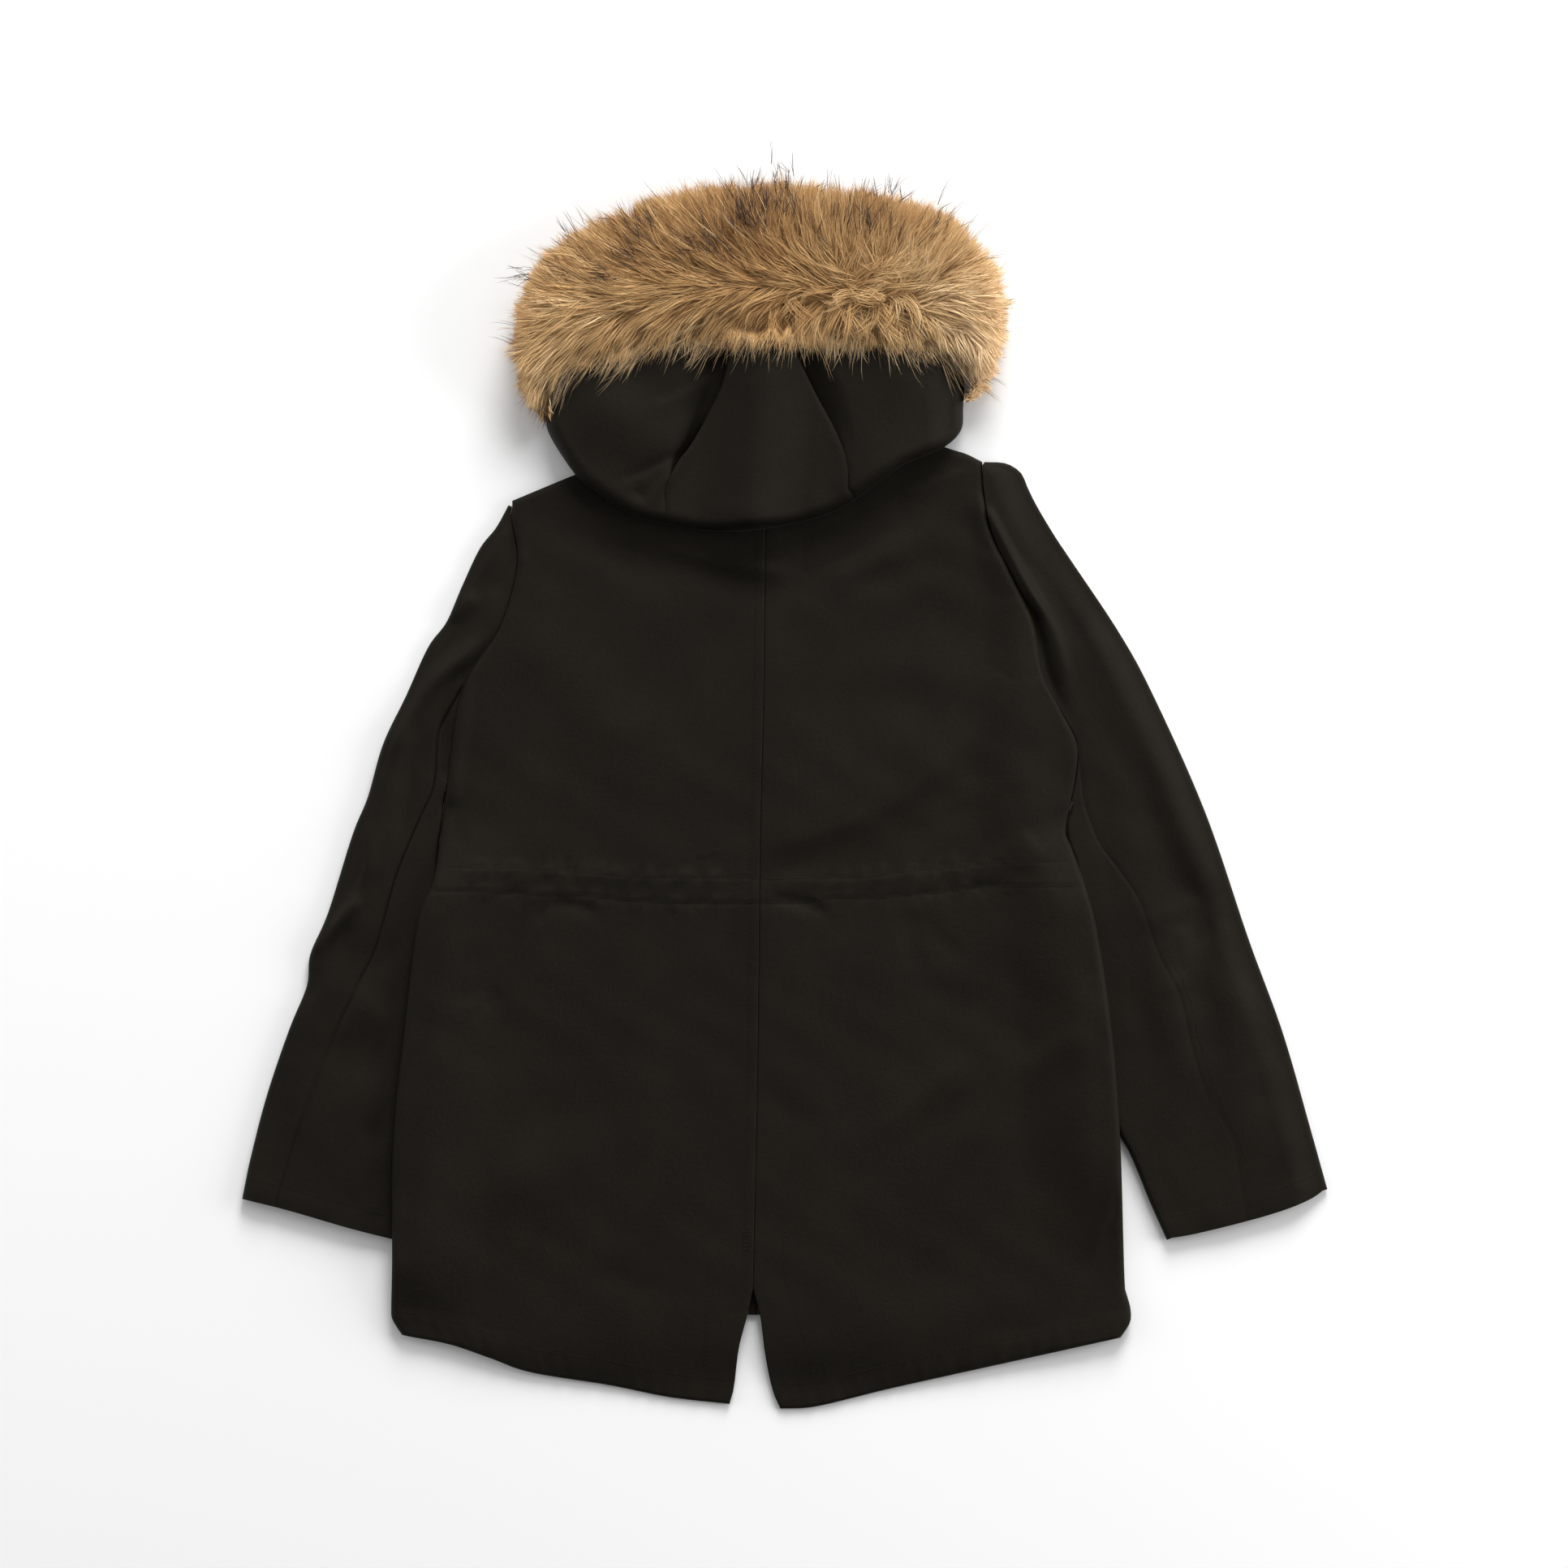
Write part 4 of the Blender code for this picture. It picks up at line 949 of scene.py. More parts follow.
hoodSeam = {
    "left": [
        (-101, 258), (-91, 280), (-81, 293), (-71, 310), (-64, 324), (-54, 344),
    ],
    "right": [(54, 268), (52, 284), (43, 307), (27, 337)],
}
hoodSeamCorner = {"left": (-103, 228), "right": (60, 249)}
hoodPocket = {
    "left": {"depth": -10.5, "reach": 38.0, "fade": (264.0, 30.0), "end": (-44, 373)},
    "right": {"depth": -8.0, "reach": 30.0, "fade": (280.0, 50.0), "end": (6, 373)},
}
furLine = [
    (-176, 356), (-135, 363), (-81, 371), (-44, 373), (6, 373), (54, 373),
    (99, 371), (142, 358),
]
hoodFolds = [
    (-18, 385, -30, 236, 13.0, 48),  # full centre panel
    (-150, 322, -112, 300, 4.0, 44), (100, 345, 78, 262, 5.0, 46),
    (-91, 280, -122, 240, 1.0, 9),
]
hoodCreases = [
    (-1.4, 4, 0.3, [(-86, 291), (-98, 283), (-112, 276), (-130, 268), (-142, 264)]),
    (1.0, 6, 0.0, [(-92, 278), (-108, 268), (-126, 258)]),
    (-1.4, 5, 0.0, [(-130, 258), (-122, 252), (-114, 249)]),
    (1.0, 5, 0.2, [(-92, 274), (-104, 261), (-114, 248), (-122, 240)]),
    (1.2, 7, 0.4, [(-122, 324), (-98, 331), (-84, 338), (-68, 347), (-52, 358)]),
    (0.9, 12, 0.0, [(-70, 246), (-40, 238), (-6, 240)]),
]


def hoodFloor(x, y):
    left, right = (yAt(halves[side]["top"], x) for side in ("left", "right"))
    shoulder = np.where(x < centreBack[-1][0], left, right)
    onBack = fall((y - shoulder - hood["floorStart"]) / hood["floorRun"])
    return hood["floor"] * onBack + hood["lowest"]


def pocketDepth(side, x, y):
    # the side panels sink beside the full centre panel
    pocket = hoodPocket[side]
    seam = spline([hoodSeamCorner[side]] + hoodSeam[side] + [pocket["end"]])
    opens, run = hood["pocketOpens"]
    reach = pocket["reach"] * np.clip((y - opens) / run, 0.2, 1)
    start, run = pocket["fade"]
    sunk = fall(np.abs(x - xAt(seam, y)) / reach) ** 1.1
    return pocket["depth"] * sunk * ease((y - start) / run)


def hoodTop(x, y, fine=True):
    level = hood["floor"] + hood["height"] + foldHeight(hoodFolds, x, y)
    if fine:
        level = level + creaseHeight(hoodCreases, x, y) + undulation(x, y) * hood["unevenness"]
    sink, start, run = hood["rightSink"]
    return level - sink * ease((x - start) / run)


def hoodLines(step, corners):
    # points and plan normals along a stretch of the outline
    dense = spline(hoodOutline)
    count = max(3, round((corners[1] - corners[0]) * lengths(dense)[-1] / step))
    fine = np.linspace(0, 1, 401)
    line = atShare(dense, fine)
    rows = np.linspace(*corners, count + 1)
    return tuple(
        np.stack([np.interp(rows, fine, c) for c in table.T], axis=-1)
        for table in (line, normals(line, 1.0))
    )


def coons(first, last, left, right):
    u = np.linspace(0, 1, len(first))[None, :, None]
    v = np.linspace(0, 1, len(left))[:, None, None]
    across = (1 - v) * first[None] + v * last[None]
    down = (1 - u) * left[:, None] + u * right[:, None]
    corners = (1 - u) * (1 - v) * first[0] + u * (1 - v) * first[-1]
    corners = corners + (1 - u) * v * last[0] + u * v * last[-1]
    return across + down - corners


def hoodPanel(name, corners, sides, furEnd, pocket):
    # strips from the rounded outline up to the fur
    line, out = hoodLines(hood["step"], corners)
    inset = line - out * hood["fold"]
    shares = np.linspace(0, 1, hood["cols"] + 1)
    furEnd = atShare(spline(furEnd), np.linspace(0, 1, len(line)))
    furEnd[:, 1] += hood["underFur"]
    spacing, dip, ends = lengths(line), np.zeros(len(line)), []
    dipDepth, dipWidth = hood["seamDip"]
    for k, seam in zip((0, -1), sides):
        path = [tuple(inset[k])] + (seam or []) + [tuple(furEnd[k])]
        ends.append(atShare(spline(path), shares))
        if seam:
            dip += dipDepth * bell(spacing - spacing[k], dipWidth)
    plan = coons(*ends, inset, furEnd)
    turn = list(np.linspace(0, 90, 10)[:-1])
    angle = np.radians(turn + [90.0] * len(shares))
    base = plan[:, [0] * len(turn) + list(range(len(shares)))]
    x, y = base[..., 0], base[..., 1]
    away = out[:, None] * np.cos(angle)[None, :, None]
    level = hoodTop(x, y) - dip[:, None]
    if pocket:
        level = level + pocketDepth(pocket, x, y)
    skins = []
    for depth in (0.0, coat["clothThickness"]):
        flat = base + away * (hood["fold"] - depth)
        floor = hoodFloor(flat[..., 0], flat[..., 1]) + hood["lowest"]
        rolled = (level - depth - floor) * np.sin(angle)[None] ** hood["roll"]
        skins.append(np.dstack([flat, floor + rolled]))
    return clothShell(name, *skins, cotton)


outline = spline(hoodOutline)
outlineLength = lengths(outline)
cornerAt = {}
for side in ("left", "right"):
    nearest = np.argmin(np.hypot(*(outline - hoodSeamCorner[side]).T))
    cornerAt[side] = outlineLength[nearest] / outlineLength[-1]
halfGap = coat["seamGap"] / 2
gapShare = halfGap / outlineLength[-1]


def besideSeam(side, way):
    return [(x + way * halfGap, y) for x, y in hoodSeam[side]]


def furPart(first, last, trim):
    part = [list(p) for p in furLine[first:last]]
    part[0][0] += trim[0]
    part[-1][0] -= trim[1]
    return part


hoodPanels = [
    ("hoodLeft", "hood_left", (0.0, cornerAt["left"] - gapShare),
     (None, besideSeam("left", -1)), furPart(0, 4, (0.0, halfGap)), "left"),
    ("hoodCentre", "hood_centre", (cornerAt["left"] + gapShare, cornerAt["right"] - gapShare),
     (besideSeam("left", 1), besideSeam("right", -1)), furPart(3, 5, (halfGap, halfGap)), None),
    ("hoodRight", "hood_right", (cornerAt["right"] + gapShare, 1.0),
     (besideSeam("right", 1), None), furPart(4, 8, (halfGap, 0.0)), "right"),
]
for name, node, *cut in hoodPanels:
    pieces[name] = hoodPanel(name, *cut)
    register(pieces[name], node)

line, out = hoodLines(hood["liningStep"], (0.04, 0.96))
line = line - out * (hood["fold"] + hood["liningInset"])
furEnd = atShare(spline(furLine), np.linspace(0.06, 0.94, len(line)))
plan = ribbon(line, furEnd, hood["liningCols"])
x, y = plan[..., 0], plan[..., 1]
lining = np.dstack([plan, hoodTop(x, y, False) - hood["liningDrop"]])
nape = np.dstack([plan, hoodFloor(x, y)])
# the lining under the hood carries the same painted shade
pieces["hoodUnder"] = clothShell("hoodUnder", lining, nape, liningClothPaintedShade)
register(pieces["hoodUnder"], "hood_under")

print("stitches")
stitch = {
    "length": 2.6, "pitch": 3.6, "width": 0.6, "height": 0.4, "sunk": 0.3, "raised": 0.1,
    "tip": 0.35,  # its ends, as a share of its middle
    "mostStep": 1.5,  # no stitch spans a step higher than this
    "lapRow": (7.6, -395, 218),  # from the centre back, y of both ends
    "barTack": (-37, -33, -28),
    "barTackY": (-389, -373, 3),  # first, limit and pitch of its rows
    "seamRowY": (-338, -140),
}


def stitchMesh(name, rows, panel):
    # small lens-shaped stitches laid on a panel's own surface
    build = bmesh.new()
    build.from_mesh(panel.data)
    surface = BVHTree.FromBMesh(build)
    build.free()
    verts, faces = [], []
    for row in rows:
        path = spline(row) if len(row) < 40 else np.array(row)
        total = lengths(path)[-1]
        for start in np.arange(1.0, total - stitch["pitch"], stitch["pitch"]):
            places = atShare(path, (start + stitch["length"] * np.array([0, 0.5, 1])) / total)
            along = unit(places[2] - places[0])
            over = np.array([-along[1], along[0]])
            rings = []
            for (x, y), size in zip(places, (stitch["tip"], 1.0, stitch["tip"])):
                found = surface.ray_cast((x * mm, (y - middleY) * mm, 0.2), (0, 0, -1))[0]
                if not found or (
                    rings and abs(found.z / mm - rings[-1][3][2]) > stitch["mostStep"]
                ):
                    break
                z = found.z / mm + stitch["raised"]
                half = stitch["width"] / 2 * size
                rings.append([
                    (x - over[0] * half, y - over[1] * half, z),
                    (x, y, z + stitch["height"] * size),
                    (x + over[0] * half, y + over[1] * half, z),
                    (x, y, z - stitch["sunk"]),
                ])
            if len(rings) < 3:
                continue
            first = len(verts)
            verts += sum(rings, [])
            for k in range(2):
                for j in range(4):
                    a, b = first + 4 * k + j, first + 4 * k + (j + 1) % 4
                    faces.append((a, b, b + 4, a + 4))
            faces.append((first + 3, first + 2, first + 1, first))
            faces.append(tuple(first + 8 + j for j in range(4)))
    register(linkObject(name, newMesh(name, verts, faces), thread))


def clipped(half, path, side, middle):
    # the part of a row that lies on one back panel
    path = np.array(path)
    fromSide = (xAt(half["edge"], path[:, 1]) - path[:, 0]) * half["sign"]
    fromMiddle = (path[:, 0] - xAt(half["centre"], path[:, 1])) * half["sign"]
    return path[(fromSide > side) & (fromMiddle > middle)]


for side, half in halves.items():
    waist = [clipped(half, spline(waistRows[key], 24), 4, 1) for key in ("upper", "lower")]
    hem = clipped(half, half["hem"] + [0, coat["hemBand"]], 4, 2)
    rows = [*waist, hem, ventFacing[side]]
    if side == "left":
        away, low, high = stitch["lapRow"]
        y = np.linspace(low, high, 60)
        rows.append(np.column_stack([xAt(half["centre"], y) - away, y]))
        rows += [[(x, y) for x in stitch["barTack"]] for y in range(*stitch["barTackY"])]
    stitchMesh(side + "BackStitches", rows, pieces["back" + side.capitalize()])
    seam = sleeveCurves[side]["seam"]
    cuff = sleeveCurves[side]["cuff"] + [0, sleeve["cuffBand"]]
    stitchMesh(side + "CuffStitches", [cuff], pieces[side + "Top"])
    stitchMesh(side + "UnderCuffStitches", [cuff], pieces[side + "Under"])
    if side == "right":
        low, high = stitch["seamRowY"]
        row = seam[(seam[:, 1] < high) & (seam[:, 1] > low)] + [7.0, 1.0]
        stitchMesh("rightSeamStitches", [row], pieces["rightTop"])

print("zip")
zipper = {
    "tape": 8.0, "tapeFloor": 2.0, "tapeTop": 3.2,
    "tooth": (2.9, 1.25, 1.3), "toothLevel": 1.6, "shift": 0.9, "pitch": 2.5,
    "sliderY": 212, "slider": (7.0, 9.0, 2.2), "sliderLevel": 1.3,
    "pull": (4.4, 14.0, 0.9), "pullLevel": 0.6, "pullDrop": 9, "bevel": 0.35,
}
y = np.linspace(coat["frontHemY"], centreBack[-1][1] - coat["frontNeckDrop"], 120)
x = xAt(centreCurve, y)
tape, tapeTop = (
    np.stack([
        np.column_stack([x + zipper["tape"] * edge, y, np.full(len(y), level)])
        for edge in (-0.5, -0.08, 0.0, 0.08, 0.5)
    ], axis=1)
    for level in (zipper["tapeFloor"], zipper["tapeTop"])
)
register(clothShell("frontZip", tapeTop, tape, zipTape), "front_zip")


def blocks(name, boxes, bevel, material):
    # bevelled blocks joined in one mesh, each given by its middle and size
    build = bmesh.new()
    for middle, size in boxes:
        made = bmesh.ops.create_cube(build, size=1.0)["verts"]
        for vert in made:
            vert.co = [(m + v * s) * mm for m, v, s in zip(middle, vert.co, size)]
            vert.co.y -= middleY * mm
    if bevel:
        bmesh.ops.bevel(build, geom=build.edges[:], offset=bevel * mm, segments=2,
                        affect="EDGES")
    mesh = bpy.data.meshes.new(name)
    build.to_mesh(mesh)
    build.free()
    register(linkObject(name, mesh, material))


places = np.arange(coat["frontHemY"] + 6, zipper["sliderY"], zipper["pitch"] / 2)
blocks("zipTeeth", [
    ((xAt(centreCurve, y) + zipper["shift"] * (1 if k % 2 else -1), y, zipper["toothLevel"]),
     zipper["tooth"])
    for k, y in enumerate(places)
], 0, zipPlastic)
x, y = xAt(centreCurve, zipper["sliderY"]), zipper["sliderY"]
blocks("zipSlider", [
    ((x, y, zipper["sliderLevel"]), zipper["slider"]),
    ((x, y - zipper["pullDrop"], zipper["pullLevel"]), zipper["pull"]),
], zipper["bevel"], zipPlastic)

print("fur")
fur = {
    "hairsPerLock": 20,
    "topLocks": 3060,
    "underLocks": 520,
    "lockRadius": 5.4,
    "gather": 0.32,  # how far the hairs of a lock close up towards its tip
    "frizz": 2.2,
    "unruly": 0.22,  # how much the locks differ in direction
    "droop": 0.35,
    "longestStray": 24.0,
    "tuft": 3.4,
    "length": (28, 48),
    "hairWidth": (0.45, 0.85),
    "core": 0.62,  # size of the pelt inside the long hair
    "top": 78.0,
    "hoodX": (-200, 153),  # between these the fringe lies over the hood's cloth
    "fringe": (48, 38.0),  # how far past furLine hair starts to rise off the cloth, the run
    "fringeRagged": 5.0,
    "clearance": 0.8,  # between cloth and hair
    "unevenFringe": 0.11,
    "wispLength": (40, 62),
    "wispEndX": 134,
    "pathSteps": 8,
    "segments": 4,
    "tone": 0.66,
}
# sections of the ruff from left to right: x and y of its outer edge, of its
# inner edge, height
furSections = [
    (-209, 320, -203, 318, 12), (-224, 342, -201, 332, 30), (-229, 400, -190, 354, 52),
    (-205, 458, -150, 363, 61), (-115, 506, -81, 375, 66), (-19, 520, -15, 375, 68),
    (78, 511, 54, 375, 67), (144, 488, 104, 373, 64), (183, 442, 140, 366, 58),
    (187, 391, 155, 358, 49), (176, 357, 156, 345, 38), (162, 336, 153, 331, 26),
]
# where the hair points: x, y, degrees from the right hand side, anticlockwise
furFlow = [
    (-175, 481, 125), (-128, 503, 115), (-67, 515, 100), (-21, 515, 86), (26, 518, 80),
    (72, 509, 77), (103, 503, 64), (143, 488, 52), (164, 478, 44), (-205, 457, 150),
    (-221, 435, 168), (-227, 411, 180), (-227, 389, 192), (-224, 364, 206),
    (-215, 340, 232), (-199, 324, 246), (183, 454, 25), (186, 432, 6), (184, 411, -10),
    (183, 386, -26), (177, 364, -46), (164, 340, -62), (-159, 463, 142),
    (-119, 475, 140), (-128, 448, 158), (-76, 460, 134), (-54, 457, 126),
    (-27, 488, 100), (-27, 457, 118), (4, 488, 86), (-2, 457, 108), (26, 463, 96),
    (56, 463, 86), (75, 488, 79), (103, 463, 70), (127, 472, 58), (149, 457, 44),
    (-190, 426, 166), (-159, 426, 166), (-113, 426, 158), (-67, 429, 156),
    (-21, 428, 160), (10, 434, 166), (34, 438, 120), (64, 436, 92), (92, 436, 78),
    (115, 432, 62), (140, 426, 18), (-190, 395, 192), (-159, 398, 200),
    (-175, 371, 218), (-144, 377, 228), (-113, 395, 214), (-113, 377, 240),
    (-82, 401, 214), (-76, 383, 250), (-51, 398, 228), (-42, 377, 262),
    (-21, 405, 224), (-14, 383, 256), (1, 412, 236), (4, 395, 282), (19, 407, 282),
    (29, 383, 276), (41, 401, 270), (50, 416, 262), (59, 383, 275), (72, 405, 282),
    (81, 383, 288), (103, 389, 300), (112, 377, 304), (120, 404, 310),
    (133, 401, -34), (140, 377, -42), (158, 389, -26), (158, 358, -48),
    (30, 428, 136), (45, 430, 108), (60, 431, 94), (75, 430, 86), (90, 430, 78),
    (105, 428, 64), (118, 423, 40), (45, 410, 268), (60, 410, 272), (75, 411, 277),
    (90, 410, 284), (105, 408, 300),
]
# where the hair stands every which way: x, y, reach
cowlicks = [
    (40, 419, 10), (64, 421, 10), (74, 424, 16), (88, 419, 10), (-5, 417, 12), (-60, 405, 8),
    (120, 400, 9),
]
# darker and lighter fields of the fur: x, y, reach, tone. The two pale fields at the right end of
# the ruff are painted light, brightening hair that lies in shade there
furToneAndLightFields = [
    (-30, 474, 46, -0.30), (-122, 462, 34, -0.19), (72, 482, 26, -0.16),
    (-30, 420, 50, -0.06), (-200, 400, 40, 0.10), (176, 415, 50, 0.28),
    (170, 350, 34, 0.60), (110, 440, 40, 0.14), (118, 486, 34, -0.12), (-10, 400, 16, -0.16),
    (-214, 340, 30, 0.24),
]
# clusters of dark guard hair: x, y, reach, count
guardClusters = [
    (-32, 486, 13, 60), (-20, 497, 9, 24), (2, 490, 8, 20), (71, 484, 11, 46),
    (124, 474, 10, 18), (-119, 475, 11, 26), (-131, 451, 8, 14), (-76, 461, 8, 12),
    (-54, 455, 8, 12), (-147, 436, 8, 8), (-5, 512, 10, 14), (16, 505, 10, 10),
    (90, 500, 10, 10), (-219, 438, 6, 8), (-175, 470, 12, 10), (40, 488, 14, 10),
]
sections = atShare(spline(furSections), np.linspace(0, 1, 161))
furOuter, furInner, furHeight = sections[:, :2], sections[:, 2:4], sections[:, 4]
furMiddle, furReach = (furOuter + furInner) / 2, (furOuter - furInner) / 2
furOutline = np.vstack([furOuter, furInner[::-1]])
hoodLow = spline(furLine)


def flowAt(points, twist):
    table = np.array(furFlow, float)
    turn = np.radians(table[:, 2])
    away = ((points[:, None] - table[None, :, :2]) ** 2).sum(-1)
    weight = 1.0 / (away + 60.0) ** 1.6
    way = np.arctan2(weight @ np.sin(turn), weight @ np.cos(turn)) + twist
    x, y = points.T
    way = way + 0.22 * np.sin(x / 9.0 + 2.0 * np.sin(y / 13.0))
    way = way + 0.16 * np.sin(y / 6.0 + 1.5 * np.sin(x / 17.0))
    return np.column_stack([np.cos(way), np.sin(way)])


def outside(points):
    # distance beyond the ruff's outline, below 0 inside it
    a, b = furOutline, np.roll(furOutline, -1, axis=0)
    step = b - a
    size = (step**2).sum(-1)
    result = np.empty(len(points))
    for first in range(0, len(points), 4000):
        p = points[first:first + 4000]
        rel = p[:, None] - a
        t = np.clip((rel * step).sum(-1) / size, 0, 1)
        gap = np.sqrt(((rel - t[..., None] * step) ** 2).sum(-1).min(axis=1))
        above = (a[:, 1] > p[:, None, 1]) != (b[:, 1] > p[:, None, 1])
        rise = np.where(step[:, 1] == 0, 1e-9, step[:, 1])
        cross = a[:, 0] + (p[:, None, 1] - a[:, 1]) * step[:, 0] / rise
        inside = ((above & (p[:, None, 0] < cross)).sum(axis=1) % 2).astype(bool)
        result[first:first + 4000] = np.where(inside, -gap, gap)
    return result


def growPaths(roots, upward, lengthOf, twist, lean=0.55):
    # lock centres that leave the pelt, turn with the flow and sink a little
    points, steps = [roots], fur["pathSteps"]
    heading = None
    for k in range(steps):
        t = k / steps
        flow = flowAt(points[-1][:, :2], twist)
        along = np.column_stack([flow, np.zeros(len(flow))])
        if heading is None:
            heading = lean * upward + 0.85 * along
        way = heading * (1 - 0.6 * t) + along * 0.7 * t
        way[:, 2] -= fur["droop"] * t
        points.append(points[-1] + unit(way) * (lengthOf / steps)[:, None])
    return np.stack(points, axis=1)


def plantRoots(count, low, high, core):
    # roots all round the pelt, as many for each length of its arc
    spread = np.linalg.norm(np.gradient(furMiddle, axis=0), axis=1)
    spread = spread * (np.linalg.norm(furReach, axis=1) + furHeight * 0.5)
    chance = np.cumsum(spread) / spread.sum()
    at = np.interp(rng.random(count), chance, np.arange(len(chance)))
    angle = np.radians(rng.uniform(low, high, count))
    pick = np.column_stack([
        np.interp(at, np.arange(len(sections)), column)
        for column in (*furMiddle.T, *furReach.T, furHeight)
    ])
    reach = pick[:, 2:4]
    plan = pick[:, :2] + reach * (core * np.cos(angle))[:, None]
    height = pick[:, 4] * (0.10 + (core - 0.06) * np.sin(angle))
    upward = np.column_stack([unit(reach) * np.cos(angle)[:, None], np.sin(angle)])
    return np.column_stack([plan, height]), upward, np.clip(pick[:, 4] / 58, 0.3, 1)


def hoodClearance(x, y):
    # height that hair has to keep above the hood's cloth
    left, right = fur["hoodX"]
    over = (x > left) & (x < right) & (y > 300)
    ragged = fur["fringeRagged"] * np.sin(x / 3.7 + 2.1 * np.sin(x / 11.0))
    start, run = fur["fringe"]
    share = ease((yAt(hoodLow, x) + start + ragged - y) / run) * over
    return 0.6 + (hoodTop(x, y, False) + fur["clearance"]) * share


def furToneAndLightAt(x, y):
    # the fields add to the base tone; the painted light at the ruff's right end is among them
    tone = np.full(x.shape, fur["tone"])
    for cx, cy, reach, change in furToneAndLightFields:
        tone = tone + change * np.exp(-((x - cx) ** 2 + (y - cy) ** 2) / reach**2)
    return tone


def tufts(tips):
    # the fringe over the hood ends in ragged tufts
    x, y = tips.T
    return fur["tuft"] * np.sin(x / 2.3 + 2.2 * np.sin(x / 9.0)) * (y < 388) * (x < 150)


def lockPaths(count, length, low=2.0, high=178.0, stray=(-3.5, 2.5), core=fur["core"]):
    roots, upward, size = plantRoots(count, low, high, core)
    lengthOf = rng.uniform(*length, count) * size
    unruly = np.full(count, fur["unruly"])
    for x, y, reach in cowlicks:
        away = (roots[:, 0] - x) ** 2 + (roots[:, 1] - y) ** 2
        unruly = unruly + 1.1 * np.exp(-away / reach**2)
    twist = rng.normal(0, 1, count) * unruly
    paths = growPaths(roots, upward, lengthOf, twist)
    allowed = rng.normal(stray[0], 1.5, count) + rng.exponential(stray[1], count)
    allowed = np.minimum(allowed, fur["longestStray"])
    for repeat in range(3):
        tips = paths[:, -1, :2]
        beyond = outside(tips) - allowed - tufts(tips)
        plan = np.linalg.norm(tips - paths[:, 0, :2], axis=1) + 1e-6
        lengthOf = lengthOf * np.clip(1 - np.maximum(beyond, 0) / plan, 0.3, 1)
        paths = growPaths(roots, upward, lengthOf, twist)
    return paths


def hairsOfLocks(paths, perLock, radius, gather):
    # hairs round each lock's centre: closing up towards the tip, of uneven length
    locks, steps = paths.shape[:2]
    owner = np.repeat(np.arange(locks), perLock)
    count = len(owner)
    around = rng.uniform(0, 2 * np.pi, count)
    away = radius * np.sqrt(rng.random(count))
    heading = unit(paths[owner, -1] - paths[owner, 0], 1e-9)
    side = unit(np.cross(heading, [0.0, 0.0, 1.0]), 1e-9)
    over = np.cross(side, heading)
    offset = side * (away * np.cos(around))[:, None]
    offset += over * (away * 0.7 * np.sin(around))[:, None]
    drift = side * rng.normal(0, 1, count)[:, None] + over * rng.normal(0, 1, count)[:, None]
    share = np.linspace(0, 1, fur["segments"] + 1)
    along = share[None] * rng.uniform(0.68, 1.08, count)[:, None]
    at = np.clip(along, 0, 1) * (steps - 1)
    lower = np.minimum(at.astype(int), steps - 2)
    part = (at - lower)[..., None]
    middle = paths[owner[:, None], lower] * (1 - part) + paths[owner[:, None], lower + 1] * part
    beyond = np.maximum(along - 1, 0)[..., None]
    middle = middle + beyond * (paths[owner, -1] - paths[owner, -3])[:, None] * 4
    hairs = middle + offset[:, None] * (1 - gather * share**1.3)[None, :, None]
    return hairs + drift[:, None] * (fur["frizz"] * share**1.5)[None, :, None], owner


def strandMesh(name, hairs, widths, tones, material):
    # tapered blades, each with its tone and its root to tip share as a map
    count, points = hairs.shape[:2]
    hairs = hairs.copy()
    floor = hoodClearance(hairs[..., 0], hairs[..., 1])
    floor *= 1 + fur["unevenFringe"] * (np.arange(count) * 0.618 % 1)[:, None]
    hairs[..., 2] = np.clip(hairs[..., 2], floor, fur["top"])
    along = unit(np.gradient(hairs, axis=1), 1e-9)
    flat = unit(np.cross(along, [0.0, 0.0, 1.0]), 1e-9)
    other = np.cross(flat, along)
    turn = rng.uniform(-0.9, 0.9, count)[:, None, None]
    flat = flat * np.cos(turn) + other * np.sin(turn)
    share = np.linspace(0, 1, points)
    taper = np.interp(share, [0, 0.35, 0.8, 1], [0.8, 1, 0.55, 0.1])
    wide = widths[:, None, None] * taper[None, :, None] / 2
    left, right = hairs + flat * wide, hairs - flat * wide
    per = 2 * points - 1
    verts = np.empty((count, per, 3))
    verts[:, 0:-1:2], verts[:, 1:-1:2] = left[:, :-1], right[:, :-1]
    verts[:, -1] = hairs[:, -1]
    base = (np.arange(count) * per)[:, None]
    quads = [base + np.array([2 * k, 2 * k + 1, 2 * k + 3, 2 * k + 2]) for k in range(points - 2)]
    tips = base + np.array([per - 3, per - 2, per - 1])
    faces = np.stack(quads, axis=1).reshape(-1, 4)
    mesh = newMesh(name, verts.reshape(-1, 3), faces.tolist() + tips.tolist())
    # across the map the tone in 64 narrow strips, up it the share
    u = ((np.floor(np.clip(tones, 0, 0.999) * 64) + 0.5) / 64)[:, None]
    rowOf = np.arange(points - 2)[:, None] + np.array([0, 0, 1, 1])
    quadUv = (u + np.array([-1, 1, 1, -1]) * 0.005)[:, None], share[rowOf]
    tipUv = u + np.array([-1, 1, 0]) * 0.005, share[[-2, -2, -1]]
    flatUv = np.concatenate([
        np.stack(np.broadcast_arrays(*pair), axis=-1).ravel() for pair in (quadUv, tipUv)
    ])
    for layer in ("strandMap", "OFBake"):
        mesh.uv_layers.new(name=layer).data.foreach_set("uv", flatUv)
    register(linkObject(name, mesh, material))


